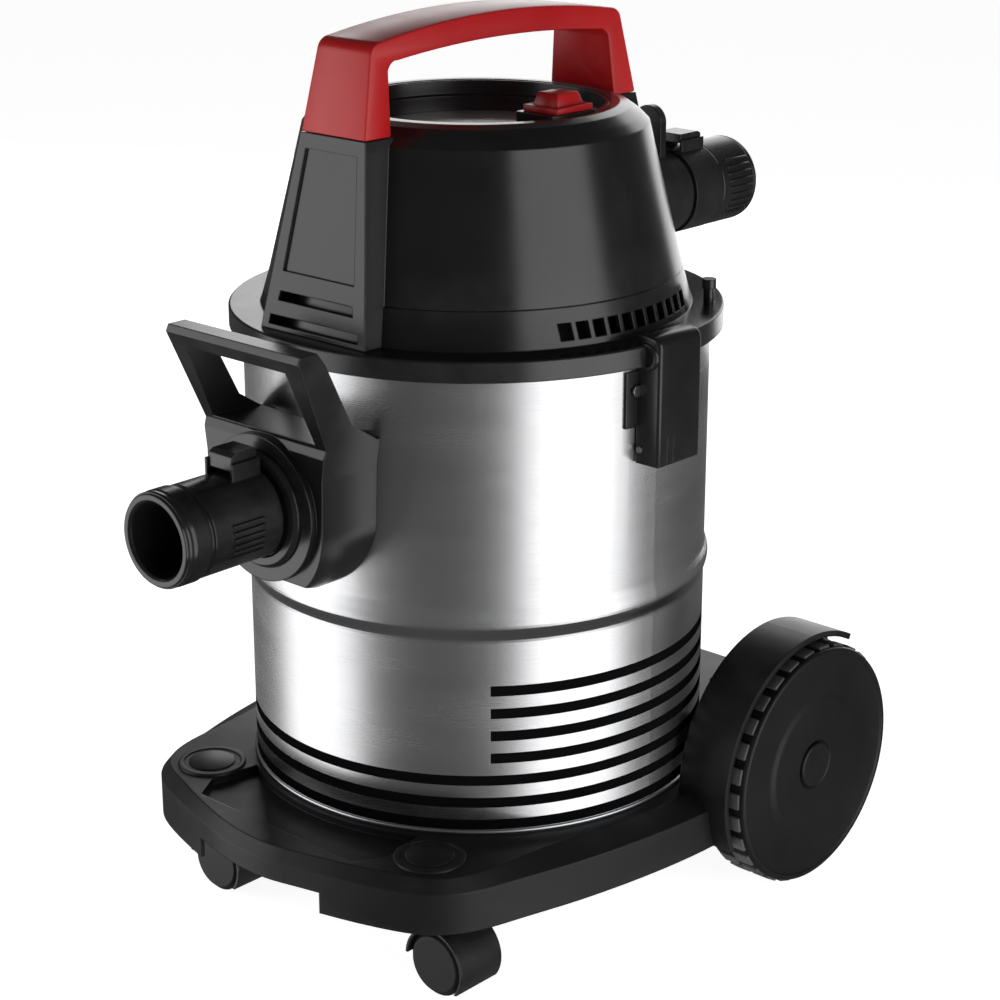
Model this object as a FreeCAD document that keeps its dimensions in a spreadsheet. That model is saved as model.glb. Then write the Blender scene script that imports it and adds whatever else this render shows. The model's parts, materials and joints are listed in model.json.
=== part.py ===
import FreeCAD, Part
import math
import os
import re
import sys

import Sketcher
from FreeCAD import Placement, Rotation, Vector

# Shop vacuum: a steel drum on a wheeled dolly under a lift-off motor head.
# Millimetres. The drum's axis is vertical and the hose inlet faces -Y. Shapes are drawn about
# the drum's axis, and each finished part is then moved by drum_y, which centres the whole.

SIZES = {
    # drum
    "drum_y": 6.5, "drum_r": 150.0, "drum_wall": 1.2, "drum_low": 81.0, "drum_top": 381.9,
    "drum_hem": 3.0, "drum_floor": 4.0, "bead_low": 209.5, "bead_tall": 23.5, "bead_out": 2.5,
    "rim_out": 3.0, "rim_tall": 4.0,
    # dolly
    "deck_plate": 4.0, "deck_wall": 3.0, "deck_edge": 73.0, "skirt_gap": 4.0, "deck_arch": 60.0,
    "front_reach": 60.0, "side_reach": 28.0, "rear_reach": 78.0, "arch_half": 55.0,
    "boss_in": 49.3, "boss_out": 1.6, "boss_r": 17.0, "cap_r": 19.0, "cap_tall": 2.5,
    "ring_wide": 3.0, "ring_tall": 1.5, "pit_depth": 5.0, "socket_x": 68.0, "socket_out": 38.0,
    "socket_r": 11.0,
    # rear wheels
    "wheel_r": 82.0, "wheel_y": 115.0, "wheel_reach": 50.0, "wheel_wide": 34.0, "wheel_rim": 6.0,
    "hub_r": 16.0, "axle_r": 6.0, "run_gap": 0.05, "hubcap_r": 15.0, "clip_r": 9.0,
    "fender_gap": 4.0, "fender_wall": 4.0, "fender_back": 7.5, "well_reach": 8.0,
    # casters
    "caster_r": 21.0, "caster_trail": 19.5, "tyre_wide": 11.0, "web_half": 5.5, "stem_r": 5.0,
    "stem_top": 72.0, "caster_pin": 3.0, "hood_wall": 1.8,
    # latches
    "latch_pin_out": 3.0, "latch_pin_down": 53.0, "latch_pin_r": 2.0, "latch_half": 20.0,
    "latch_out": 9.0, "latch_sheet": 2.0, "latch_tail": 9.0, "lip_gap": 2.3, "strap_half": 29.0,
    "strap_down": 4.0,
    # inlet and its carry handle
    "inlet_down": 82.0, "inlet_reach": 37.0, "sleeve_wall": 3.4, "sleeve_fit": 1.0,
    "lock_wide": 12.6, "ring_band": 9.1, "grip_up": 106.8, "grip_half": 57.3, "grip_out": 22.6,
    "grip_deep": 15.1, "grip_bar": 12.0, "loop_half": 44.8, "loop_up": 5.4,
    # cuffs
    "cuff_bore": 22.9, "cuff_wall": 5.7, "cuff_long": 74.0, "slide_gap": 0.3,
    "outlet_up": 40.0, "outlet_reach": 40.0, "swivel_long": 30.0, "collar_long": 39.0,
    "spigot_wall": 2.5, "button_wide": 20.0, "button_travel": 2.5,
    # lid
    "lid_drop": 5.9, "flange_tall": 13.0, "lid_plate": 3.1, "rim_gap": 2.5, "channel_wall": 3.0,
    "house_in": 20.5, "house_tall": 23.0, "house_slope": 6.7, "shell": 3.0, "motor_hole": 30.0,
    # cover
    "cover_tall": 91.0, "cover_slope": 22.3, "crest_up": 12.0, "crest_in": 25.0,
    "column_out": 7.0, "column_slope": 21.0, "column_half": 45.0, "column_half_top": 27.5,
    # red handle
    "handle_half_top": 23.0, "handle_deep": 22.0, "handle_lean": 10.0, "handle_leg": 48.0,
    "handle_rise": 16.5, "handle_bar": 16.0,
    # switch
    "switch_in": 16.0, "switch_long": 33.0, "switch_wide": 28.0, "switch_up": 1.3,
    "switch_rise": 4.0,
    # float and filter
    "cage_r": 48.5, "cage_tall": 86.9, "ball_r": 25.0, "seat_r": 20.0, "filter_r": 54.0,
    "filter_down": 7.0,
    # motor
    "fan_case_r": 70.0, "fan_r": 62.0, "shaft_r": 5.0, "bearing_r": 11.0, "stator_r": 42.0,
    "rotor_r": 28.0, "foam_gap": 11.0, "foam_wall": 12.0,
}

# What fits, covers or lines up with another piece follows from that piece's own sizes.
TIED = {
    "deck_skirt": "2 * caster_r + skirt_gap", "deck_front": "drum_r + front_reach",
    "deck_side": "drum_r + side_reach", "deck_rear": "drum_r + rear_reach",
    "boss_x": "drum_r - boss_in", "boss_y": "-(drum_r + boss_out)",
    "wheel_face": "drum_r + wheel_reach", "well_x": "drum_r + well_reach",
    "fender_face": "wheel_face - fender_back",
    "channel_in": "drum_r - drum_wall - 1.8", "channel_out": "drum_r + rim_out + rim_gap",
    "flange_r": "channel_out + channel_wall", "flange_low": "drum_top - lid_drop",
    "flange_top": "flange_low + flange_tall", "plate_top": "flange_top - 2",
    "plate_low": "plate_top - lid_plate",
    "house_r": "flange_r - house_in", "seam_r": "house_r - house_slope",
    "seam_z": "flange_top + house_tall", "shoulder_r": "seam_r - cover_slope",
    "shoulder_z": "seam_z + cover_tall", "crest_r": "shoulder_r - crest_in",
    "crest_z": "shoulder_z + crest_up",
    "column_y": "house_r + column_out", "column_y_top": "column_y - column_slope",
    "column_top": "shoulder_z + 5", "handle_corner_y": "column_y_top - handle_lean",
    "handle_corner_z": "column_top + handle_leg", "handle_crown": "handle_corner_z + handle_rise",
    "switch_x": "crest_r - switch_in", "switch_z": "crest_z + switch_up",
    "latch_pin_x": "drum_r + latch_pin_out", "latch_pin_z": "flange_low - latch_pin_down",
    "latch_face": "flange_r + latch_out", "latch_low": "latch_pin_z - latch_tail",
    "latch_high": "flange_top + lip_gap + latch_sheet + 1", "strap_top": "flange_low - strap_down",
    "inlet_z": "flange_low - inlet_down", "inlet_front": "drum_r + inlet_reach",
    "sleeve_r": "cuff_bore + sleeve_fit", "lock_r": "sleeve_r + lock_wide",
    "inlet_ring_r": "lock_r + ring_band", "grip_z": "inlet_z + grip_up",
    "grip_y": "inlet_front + grip_out", "loop_low": "inlet_z + inlet_ring_r + loop_up",
    "cuff_r": "cuff_bore + cuff_wall", "screw_reach": "sleeve_r + 9.1",
    "outlet_z": "flange_top + outlet_up", "outlet_r": "cuff_bore + 7.6",
    "outlet_face": "drum_r + outlet_reach", "swivel_y": "outlet_face + swivel_long",
    "outlet_end": "swivel_y + collar_long", "port_start": "foam_out + 2",
    "port_r": "outlet_r - 1.9", "spigot_r": "cuff_bore - 1.9",
    "cage_low": "plate_low - cage_tall", "filter_low": "cage_low - filter_down",
    "foam_out": "shoulder_r - foam_gap", "foam_in": "foam_out - foam_wall",
}

DOC = FreeCAD.newDocument("shop_vacuum")
SHEET = DOC.addObject("Spreadsheet::Sheet", "sizes")
for line, (alias, value) in enumerate(SIZES.items(), 1):
    SHEET.set(f"A{line}", alias)
    SHEET.set(f"B{line}", str(value))
    SHEET.setAlias(f"B{line}", alias)
DOC.recompute()

WORD = re.compile(r"[a-z]\w*")
PARTS = {}
UP = Vector(0, 0, 1)
FORWARD = Rotation(Vector(1, 0, 0), 90)
BACKWARD = Rotation(Vector(0, 1, 1), 180)
RIGHTWARD = Rotation(Vector(0, 1, 0), 90)
LEFTWARD = Rotation(Vector(0, 1, 0), -90)
SIDES = (("left", "-", LEFTWARD), ("right", "", RIGHTWARD))


# ---------------------------------------------------------------- drawing tools


def spelled(text):
    """An expression on the sheet: sizes become cells, and tied names their own expressions."""
    def cell(match):
        word = match[0]
        if word in TIED:
            return f"({spelled(TIED[word])})"
        return f"sizes.{word}" if word in SIZES else word

    return WORD.sub(cell, text)


def size(name):
    """A size, or a tied value, as the sheet gives it."""
    return float(SHEET.evalExpression(spelled(name).replace("sizes.", "")))


def bind(thing, prop, text):
    """Ties a property to the sheet."""
    thing.setExpression(prop, spelled(text))


def place(thing, x="0", y="0", z="0", turn=None):
    """Sets where a shape stands, with each coordinate tied to the sheet."""
    if turn is not None:
        thing.Placement = Placement(Vector(), turn)
    for axis, text in zip("xyz", (x, y, z)):
        if text != "0":
            bind(thing, f"Placement.Base.{axis}", text)
    return thing


def outline(body, name, plane, corners, rise):
    """A closed polygon sketch whose every corner is tied to the sheet."""
    sketch = body.newObject("Sketcher::SketchObject", name)
    role = next(f for f in body.Origin.OriginFeatures if f.Role == plane)
    sketch.AttachmentSupport = (role, [""])
    sketch.MapMode = "FlatFace"
    if rise != "0":
        bind(sketch, "AttachmentOffset.Base.z", rise)
    count = len(corners)
    for n in range(count):
        after = (n + 1) % count
        start = Vector(n, n * n, 0)
        sketch.addGeometry(Part.LineSegment(start, Vector(after, after * after, 0)))
    for n, corner in enumerate(corners):
        sketch.addConstraint(Sketcher.Constraint("Coincident", n, 2, (n + 1) % count, 1))
        for kind, text in zip(("DistanceX", "DistanceY"), corner):
            index = sketch.addConstraint(Sketcher.Constraint(kind, -1, 1, n, 1, 1.0))
            bind(sketch, f"Constraints[{index}]", text)
    return sketch


def lathe(name, corners):
    """A turned body from (radius, height) corners, about Z."""
    body = DOC.addObject("PartDesign::Body", name)
    sketch = outline(body, name + "_profile", "XZ_Plane", corners, "0")
    turned = body.newObject("PartDesign::Revolution", name + "_turned")
    turned.Profile = sketch
    turned.ReferenceAxis = (sketch, ["V_Axis"])
    turned.Angle = 360
    return body


def prism(name, plane, corners, depth, rise="0"):
    """A padded body from a polygon on one of its own origin planes."""
    body = DOC.addObject("PartDesign::Body", name)
    sketch = outline(body, name + "_profile", plane, corners, rise)
    pad = body.newObject("PartDesign::Pad", name + "_pad")
    pad.Profile = sketch
    bind(pad, "Length", depth)
    return body


def cylinder(name, radius, height, x="0", y="0", z="0", turn=None):
    """A Part cylinder standing on the given point."""
    thing = DOC.addObject("Part::Cylinder", name)
    bind(thing, "Radius", radius)
    bind(thing, "Height", height)
    return place(thing, x, y, z, turn)


def block(name, wide, deep, tall, x="0", y="0", z="0"):
    """A Part box centred on x and y that stands on z."""
    thing = DOC.addObject("Part::Box", name)
    bind(thing, "Length", wide)
    bind(thing, "Width", deep)
    bind(thing, "Height", tall)
    return place(thing, f"{x} - ({wide}) / 2", f"{y} - ({deep}) / 2", z)


def fuse(name, *things):
    """One solid from several."""
    thing = DOC.addObject("Part::MultiFuse", name)
    thing.Shapes = list(things)
    return thing


def cut(name, base, *tools):
    """The base less every tool."""
    thing = DOC.addObject("Part::Cut", name)
    thing.Base = base
    thing.Tool = tools[0] if len(tools) == 1 else fuse(name + "_tools", *tools)
    return thing


def group(name, *things):
    """Separate solids, such as a set of screws, held in one node."""
    thing = DOC.addObject("Part::Compound", name)
    thing.Links = list(things)
    return thing


def drawn(name, shape):
    """A shape made with Part's own functions, for outlines that are rounded or lofted."""
    thing = DOC.addObject("Part::Feature", name)
    thing.Shape = shape
    return thing


def finish(label, thing, x="0", y="drum_y", z="0", turn=None):
    """Names a finished sub-part and puts it in its place."""
    place(thing, x, y, z, turn)
    thing.Label = label
    PARTS[label] = thing


def face_of(points):
    """A flat face from corner vectors."""
    return Part.Face(Part.makePolygon([*points, points[0]]))


def slab(points, depth):
    """A polygon's face, extruded by the depth vector."""
    return face_of(points).extrude(depth)


def loft(*loops):
    """A ruled solid through two or more closed loops of corner vectors."""
    return Part.makeLoft([Part.makePolygon([*p, p[0]]) for p in loops], True, True)


def oblong(half, near, far, z):
    """A level rectangle, symmetric in x, between two depths."""
    return [Vector(x, y, z) for x, y in ((-half, near), (half, near), (half, far), (-half, far))]


def cone(low_r, low_z, high_r, high_z):
    """A solid frustum about the drum's axis."""
    return Part.makeCone(low_r, high_r, high_z - low_z, Vector(0, 0, low_z))


# ---------------------------------------------------------------- dolly


def deck_loop(inset, shrink, z):
    """The deck's rounded outline at a height; shrink narrows the part that slopes up to the top."""
    front = size("deck_front")
    side = size("deck_side")
    rear = size("deck_rear")
    half = [
        (side * 0.16, -front + 1 + shrink * 0.35), (side * 0.34, -front + 9 + shrink * 0.4),
        (side * 0.56, -front + 21 + shrink * 0.5), (side * 0.70, -front + 34 + shrink * 0.5),
        (side * 0.785 - shrink * 0.3, -front + 53 + shrink * 0.4),
        (side * 0.84 - shrink * 0.6, -front + 82 + shrink * 0.1), (side * 0.90 - shrink, -front + 120),
        (side * 0.96 - shrink, -front + 170), (side - shrink, -front + 228),
        (side - 1 - shrink, rear - 80), (side - 5 - shrink, rear - 36),
        (side - 22 - shrink, rear - 9 - shrink * 0.2), (side * 0.6, rear - 1 - shrink * 0.2),
        (side * 0.2, rear - shrink * 0.2),
    ]
    ring = [*half, *[(-x, y) for x, y in reversed(half)]]
    count = len(ring)
    points = []
    for n, (x, y) in enumerate(ring):
        before, after = ring[n - 1], ring[(n + 1) % count]
        along = Vector(after[0] - before[0], after[1] - before[1], 0).normalize()
        points.append(Vector(x - along.y * inset, y + along.x * inset, z))
    curve = Part.BSplineCurve()
    curve.interpolate(points, PeriodicFlag=True)
    return Part.Wire(curve.toShape())


def deck_block(inset, low, edge, top):
    """The deck's outer form, or the hollow under it: an upright band and a slope above."""
    base = deck_loop(inset, 0, low)
    band = Part.Face(base).extrude(Vector(0, 0, edge - low))
    crown = Part.makeLoft([deck_loop(inset, 0, edge), deck_loop(inset, 16, top)], True, True)
    return band.fuse(crown)


def fender(side):
    """The arch over one rear wheel, with the wall behind the wheel."""
    y = size("wheel_y")
    z = size("wheel_r")
    inner = size("wheel_r") + size("fender_gap")
    outer = inner + size("fender_wall")
    wall = size("well_x")
    long = size("fender_face") - wall + size("deck_wall")
    start = Vector(side * (wall - size("deck_wall")), y, z)
    along = Vector(side, 0, 0)
    shell = Part.makeCylinder(outer, long, start, along)
    hollow = Part.makeCylinder(inner, long, start + along * size("deck_wall"), along)
    arch = shell.cut(hollow)
    low = Part.makeBox(2 * outer, 2 * outer, outer, Vector(-outer, -outer, -outer))
    low.translate(Vector(side * wall, y, size("deck_skirt")))
    back = Part.makeBox(3 * outer, outer, 2 * outer, Vector(-1.5 * outer, 0, -outer))
    back.rotate(Vector(), Vector(1, 0, 0), -24)
    back.translate(Vector(side * (wall + 1.5 * outer), y + 36, z + 60))
    disc = Part.makeCylinder(outer, size("deck_wall"), start, along)
    return arch.cut(back).fuse(disc).cut(low)


def wheel_well(side):
    """The space that one rear wheel turns in, beside the deck and open to the outside."""
    inner = size("wheel_r") + size("fender_gap")
    start = Vector(side * size("well_x"), size("wheel_y"), size("wheel_r"))
    return Part.makeCylinder(inner, 80, start, Vector(side, 0, 0))


def axle_block(side):
    """The boss beside the wheel well that carries the stub axle."""
    z = size("wheel_r")
    y = size("wheel_y")
    near = size("well_x") - 38
    across = Vector(side, 0, 0)
    barrel = Part.makeCylinder(size("axle_r") + 7, 37, Vector(side * near, y, z), across)
    foot = Part.makeBox(37, 2 * size("axle_r") + 14, z - size("deck_skirt") - 4)
    foot.translate(Vector(side * (near + 18.5) - 18.5, y - size("axle_r") - 7, size("deck_skirt") + 4))
    around = Part.makeCylinder(size("drum_r") + 1.5, z, Vector(0, 0, size("drum_low") - 1))
    return barrel.fuse(foot).cut(around)


def pit():
    """The sunken floor in front of the drum, between the caster bosses."""
    wide = size("boss_x") - size("cap_r") - 4
    front = 22 - size("deck_front")
    rear = -size("drum_r") + 26
    return [(-wide + 8, front), (wide - 8, front), (wide + 4, front + 20), (wide - 4, rear),
            (4 - wide, rear),
            (-wide - 4, front + 20)]


def dolly_deck():
    top = size("drum_low")
    plate = size("deck_plate")
    edge = size("deck_edge")
    skirt = size("deck_skirt")
    wall = size("deck_wall")
    shape = deck_block(0, skirt, edge, top)
    shape = shape.cut(deck_block(wall, skirt - 1, edge - plate, top - plate))
    for side in (-1, 1):
        corner = Part.makeBox(60, 2 * size("wheel_r"), 120, Vector(-30, 0, 0))
        corner.translate(Vector(side * (size("well_x") + 30), size("wheel_y") - 20, 20))
        shape = shape.cut(corner).cut(wheel_well(side))
        shape = shape.fuse([fender(side), axle_block(side)])
    depth = size("pit_depth")
    floor = [Vector(x * 1.04, y, top - plate - depth) for x, y in pit()]
    shape = shape.fuse(slab(floor, Vector(0, 0, plate + depth / 2)))
    sunk = slab([Vector(x, y, top - depth) for x, y in pit()], Vector(0, 0, depth + 1))
    shape = shape.cut(sunk.cut(Part.makeCylinder(size("drum_r") + 4, 20, Vector(0, 0, top - 10))))
    arch = Part.makeBox(2 * size("arch_half"), 60, size("deck_arch") - skirt + 1)
    arch.translate(Vector(-size("arch_half"), -size("deck_front") - 5, skirt - 1))
    shape = shape.cut(arch)
    for side in (-1, 1):
        shape = caster_boss(shape, side)
        start = Vector(side * (size("well_x") - 28), size("wheel_y"), size("wheel_r"))
        shape = shape.cut(Part.makeCylinder(size("axle_r"), 40, start, Vector(side, 0, 0)))
        socket = Vector(side * size("socket_x"), size("drum_r") + size("socket_out"), top - 15)
        shape = shape.cut(Part.makeCylinder(size("socket_r"), 30, socket))
    for x, y in DRUM_SCREWS:
        shape = shape.cut(Part.makeCylinder(2.5, 30, Vector(x, y, top - 15)))
    finish("dolly_deck", drawn("dolly_deck", shape.removeSplitter()))


def caster_boss(shape, side):
    """Adds one caster socket below the deck and the capped ring above it."""
    top = size("drum_low")
    x = side * size("boss_x")
    y = size("boss_y")
    cap = size("cap_r")
    ring = cap + size("ring_wide")
    skirt = size("deck_skirt")
    boss = Part.makeCylinder(size("boss_r"), top - skirt, Vector(x, y, skirt))
    collar = Part.makeCylinder(ring, size("ring_tall") + size("pit_depth"),
                               Vector(x, y, top - size("pit_depth")))
    under = Part.makeCylinder(ring, 3, Vector(x, y, top - size("deck_plate") - 3))
    bore = Part.makeCylinder(size("stem_r") + size("run_gap"), size("stem_top") - skirt + 1,
                             Vector(x, y, skirt - 1))
    seat = Part.makeCylinder(cap, 20, Vector(x, y, top + size("ring_tall") - size("cap_tall")))
    return shape.fuse([boss, collar, under]).cut(bore).cut(seat)


def caps_and_axles():
    """Caps over the caster sockets, stub axles and the clips that keep the rear wheels on them."""
    caps = []
    axles = []
    clips = []
    for name, side, turn in SIDES:
        caps.append(cylinder(f"cap_{name}", "cap_r", "cap_tall - 0.5", side + "boss_x", "boss_y",
                             "drum_low + ring_tall - cap_tall"))
        axles.append(cylinder(f"axle_{name}", "axle_r", "wheel_face - well_x + 23.5",
                              f"{side}(well_x - 28)",
                              "wheel_y", "wheel_r", turn))
        clip = lathe(f"clip_{name}", [
            ("axle_r", "0"), ("clip_r", "0"), ("clip_r", "1.4"), ("axle_r", "1.4"),
        ])
        clips.append(place(clip, f"{side}(wheel_face - 5.7)", "wheel_y", "wheel_r", turn))
    finish("caster_caps", group("caster_caps", *caps))
    finish("rear_axles", group("rear_axles", *axles))
    finish("axle_clips", group("axle_clips", *clips))


# ---------------------------------------------------------------- rear wheels


def rear_wheels():
    rim = "wheel_r - wheel_rim"
    for name, side, turn in SIDES:
        wheel = lathe(f"wheel_{name}", [
            ("axle_r + run_gap", "2"), ("hub_r", "2"), ("hub_r", "24"), (rim, "24"), (rim, "1"),
            ("wheel_r - 3", "0"), ("wheel_r", "3"), ("wheel_r", "wheel_wide - 3"),
            ("wheel_r - 2.5", "wheel_wide"), (rim, "wheel_wide"), (rim + " - 3", "wheel_wide - 2.5"),
            ("hub_r + 30", "wheel_wide - 2.5"), ("hub_r + 28", "wheel_wide - 0.8"),
            ("hubcap_r", "wheel_wide - 0.8"), ("hubcap_r", "wheel_wide - 6"),
            ("axle_r + run_gap", "wheel_wide - 6"),
        ])
        finish(f"rear_wheel_{name}", wheel, f"{side}(wheel_face - wheel_wide)", "wheel_y + drum_y",
               "wheel_r", turn)
        cap = lathe(f"hubcap_{name}", [
            ("0", "0"), ("hubcap_r", "0"), ("hubcap_r", "2"), ("hubcap_r - 1", "2.8"), ("0", "2.8"),
        ])
        finish(f"wheel_cap_{name}", cap, f"{side}(wheel_face - 2.8)", "wheel_y + drum_y", "wheel_r", turn)


# ---------------------------------------------------------------- casters


def caster(name, sign):
    """One swivel caster: hood, stem, axle and two wheels, trailing toward +X."""
    x = f"{sign}boss_x"
    wheel_x = f"({x} + caster_trail)"
    hood_r = "(caster_r + 0.8 + hood_wall)"
    hood_wide = "(2 * web_half + 2 * tyre_wide + 3)"
    rear = f"boss_y + {hood_wide} / 2"
    top = "(2 * caster_r + 2.6)"
    dome = cylinder(f"dome_{name}", hood_r, hood_wide, wheel_x, rear, "caster_r", FORWARD)
    hollow = cylinder(f"dome_hollow_{name}", "caster_r + 0.8", hood_wide + " + 2", wheel_x, rear + " + 1",
                      "caster_r", FORWARD)
    skirt = block(f"dome_skirt_{name}", "80", "80", "40", wheel_x, "boss_y", "7 - 40")
    lee = block(f"dome_lee_{name}", "40", "80", "40", f"{wheel_x} - 24", "boss_y", "caster_r + 1 - 40")
    arch = cut(f"arch_{name}", dome, hollow, skirt, lee)
    web = cylinder(f"web_{name}", "caster_r - 1", "2 * web_half", wheel_x, "boss_y + web_half",
                   "caster_r", FORWARD)
    neck = block(f"neck_{name}", "caster_trail", "2 * web_half", "16", f"{x} + caster_trail / 2",
                 "boss_y", f"{top} - 16.6")
    boss = cylinder(f"swivel_{name}", "stem_r + 6", "4", x, "boss_y", f"{top} - 4.6")
    post = block(f"post_{name}", "2 * stem_r + 12", "2 * web_half", "14", x, "boss_y", f"{top} - 16.6")
    bore = cylinder(f"stem_bore_{name}", "stem_r", "30", x, "boss_y", f"{top} - 12.6")
    pin_bore = cylinder(f"pin_bore_{name}", "caster_pin", "60", wheel_x, "boss_y + 30", "caster_r", FORWARD)
    trim = block(f"hood_trim_{name}", "120", "80", "20", wheel_x, "boss_y", top)
    hood = cut(f"hood_{name}", fuse(f"hood_raw_{name}", arch, web, neck, boss, post), bore, pin_bore, trim)
    finish(f"caster_hood_{name}", hood)
    stem = cylinder(f"stem_{name}", "stem_r", f"stem_top - {top} + 11.6", x, "boss_y", f"{top} - 12.6")
    pin = cylinder(f"pin_{name}", "caster_pin", "2 * web_half + 2 * tyre_wide - 4", wheel_x,
                   "boss_y + web_half + tyre_wide - 2", "caster_r", FORWARD)
    finish(f"caster_pins_{name}", group(f"caster_pins_{name}", stem, pin))
    for part, turn, way in (("front", FORWARD, "-"), ("rear", BACKWARD, "+")):
        wheel = lathe(f"caster_{name}_{part}", [
            ("caster_pin + run_gap", "0"), ("9", "0"), ("9", "1.5"), ("caster_r - 3", "1.5"),
            ("caster_r - 2", "0"), ("caster_r", "1.5"), ("caster_r", "tyre_wide - 3"),
            ("caster_r - 3", "tyre_wide"), ("0", "tyre_wide"), ("0", "tyre_wide - 1.7"),
            ("caster_pin + run_gap", "tyre_wide - 1.7"),
        ])
        finish(f"caster_wheel_{name}_{part}", wheel, wheel_x, f"boss_y {way} (web_half + 0.8) + drum_y",
               "caster_r", turn)


# ---------------------------------------------------------------- drum


DRUM_SCREWS = [(70, 70), (-70, 70), (70, -70), (-70, -70)]
RIVET_Y = (-22, 22)
RIVET_SEAT = "sqrt((drum_r + 2) ^ 2 - 18.5 ^ 2) + 0.1"


def inlet_corners():
    """The four screw places round the inlet, as expressions for x and z."""
    return [(f"{a} * screw_reach", f"inlet_z + {b} * screw_reach") for a in (-1, 1) for b in (-1, 1)]


def bead(radius, shift, shares):
    """The rolled bead as a raised wave; shares run along it from 0 to 1."""
    swell = [(share, (1 - math.cos(2 * math.pi * share)) / 2) for share in shares]
    return [(f"{radius} + bead_out * {out:.4f}", f"bead_low + {shift} + bead_tall * {share:.4f}")
            for share, out in swell]


def drum():
    inner = "drum_r - drum_wall"
    hem = "drum_r - drum_hem"
    steps = [n / 12 for n in range(13)]
    shell = lathe("drum_turned", [
        ("0", "drum_low + drum_floor"), (hem, "drum_low + drum_floor"), (hem, "drum_low"),
        ("drum_r", "drum_low"),
        *bead("drum_r", "0", steps), ("drum_r", "drum_top - rim_tall"),
        ("drum_r + rim_out", "drum_top - rim_tall"), ("drum_r + rim_out", "drum_top"), (inner, "drum_top"),
        *bead(inner, "0", reversed(steps)), (inner, "drum_low + drum_floor + drum_wall"),
        ("0", "drum_low + drum_floor + drum_wall"),
    ])
    holes = [cylinder("inlet_hole", "sleeve_r + 0.1", "60", "0", "-drum_r + 30", "inlet_z", FORWARD)]
    for n, (x, z) in enumerate(inlet_corners()):
        holes.append(cylinder(f"inlet_screw_hole_{n}", "2", "60", x, "-drum_r + 30", z, FORWARD))
    for n, (x, y) in enumerate(DRUM_SCREWS):
        holes.append(cylinder(f"floor_hole_{n}", "2.5", "20", str(x), str(y), "drum_low - 5"))
    for n, y in enumerate(RIVET_Y):
        holes.append(cylinder(f"rivet_hole_{n}", "2", "4 * drum_r", "-2 * drum_r", str(y),
                              "strap_top - 12", RIGHTWARD))
    finish("drum_shell", cut("drum_shell", shell, *holes))
    screws = []
    for n, (x, y) in enumerate(DRUM_SCREWS):
        head = cylinder(f"drum_screw_head_{n}", "5", "3", str(x), str(y), "drum_low - deck_plate - 3")
        shank = cylinder(f"drum_screw_shank_{n}", "2.5", "deck_plate + drum_floor + drum_wall + 4",
                         str(x), str(y),
                         "drum_low - deck_plate")
        screws.append(fuse(f"drum_screw_{n}", head, shank))
    finish("drum_screws", group("drum_screws", *screws))


# ---------------------------------------------------------------- latches


def latches():
    """Both over-centre latches, each drawn on the +X side and turned about the drum's axis."""
    sets = {"latch_brackets": [], "latch_rivets": [], "latch_pins": [], "latch_springs": []}
    for name, turn in (("right", Rotation(UP, 0)), ("left", Rotation(UP, 180))):
        finish(f"latch_lever_{name}", lever(name), turn=turn)
        sets["latch_brackets"].append(place(bracket(name), turn=turn))
        sets["latch_springs"].append(place(leaf_spring(name), turn=turn))
        pin = cylinder(f"latch_rod_{name}", "latch_pin_r", "2 * latch_half + 1.6", "latch_pin_x",
                       "latch_half + 0.8",
                       "latch_pin_z", FORWARD)
        sets["latch_pins"].append(place(group(f"latch_pin_{name}", pin), turn=turn))
        rivets = []
        for n, y in enumerate(RIVET_Y):
            head = cylinder(f"rivet_head_{name}_{n}", "3.5", "1.5", RIVET_SEAT, str(y),
                            "strap_top - 12", RIGHTWARD)
            shank = cylinder(f"rivet_shank_{name}_{n}", "2", "6", "drum_r - 4.5", str(y),
                             "strap_top - 12", RIGHTWARD)
            rivets.append(fuse(f"rivet_{name}_{n}", head, shank))
        sets["latch_rivets"].append(place(group(f"rivet_pair_{name}", *rivets), turn=turn))
    for label, pieces in sets.items():
        finish(label, group(label, *pieces))


def bracket(name):
    """The strap on the drum, with two ears that hold the latch's pin."""
    shell = lathe(f"strap_shell_{name}", [
        ("drum_r", "latch_pin_z - 6"), ("drum_r + 2", "latch_pin_z - 6"), ("drum_r + 2", "strap_top"),
        ("drum_r", "strap_top"),
    ])
    window = block(f"strap_window_{name}", "30", "2 * strap_half", "strap_top - latch_pin_z - 14",
                   "drum_r - 6", "0",
                   "latch_pin_z + 14")
    foot = block(f"strap_foot_{name}", "30", "28", "40", "drum_r - 6", "0", "latch_pin_z - 8")
    strap = DOC.addObject("Part::MultiCommon", f"strap_{name}")
    strap.Shapes = [shell, fuse(f"strap_area_{name}", window, foot)]
    ears = []
    for n, side in enumerate(("-", "")):
        ears.append(block(f"ear_{name}_{n}", "8", "2.5", "12", "drum_r + 4.3", f"{side}15.25",
                          "latch_pin_z - 6"))
    bores = [cylinder(f"ear_bore_{name}", "latch_pin_r", "60", "latch_pin_x", "30", "latch_pin_z", FORWARD)]
    for n, y in enumerate(RIVET_Y):
        bores.append(cylinder(f"strap_bore_{name}_{n}", "2", "20", "drum_r - 10", str(y),
                              "strap_top - 12", RIGHTWARD))
    core = cylinder(f"strap_core_{name}", "drum_r", "80", "0", "0", "latch_pin_z - 20")
    return cut(f"bracket_{name}", fuse(f"bracket_raw_{name}", strap, *ears), core, *bores)


def leaf_spring(name):
    """The flat spring between strap and lever."""
    return prism(f"leaf_{name}", "XZ_Plane", [
        ("drum_r + 2.6", "latch_pin_z + 16"), ("drum_r + 3.8", "latch_pin_z + 16"),
        ("drum_r + 10", "strap_top"), ("drum_r + 8.8", "strap_top"),
    ], "26", "-13")


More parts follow.
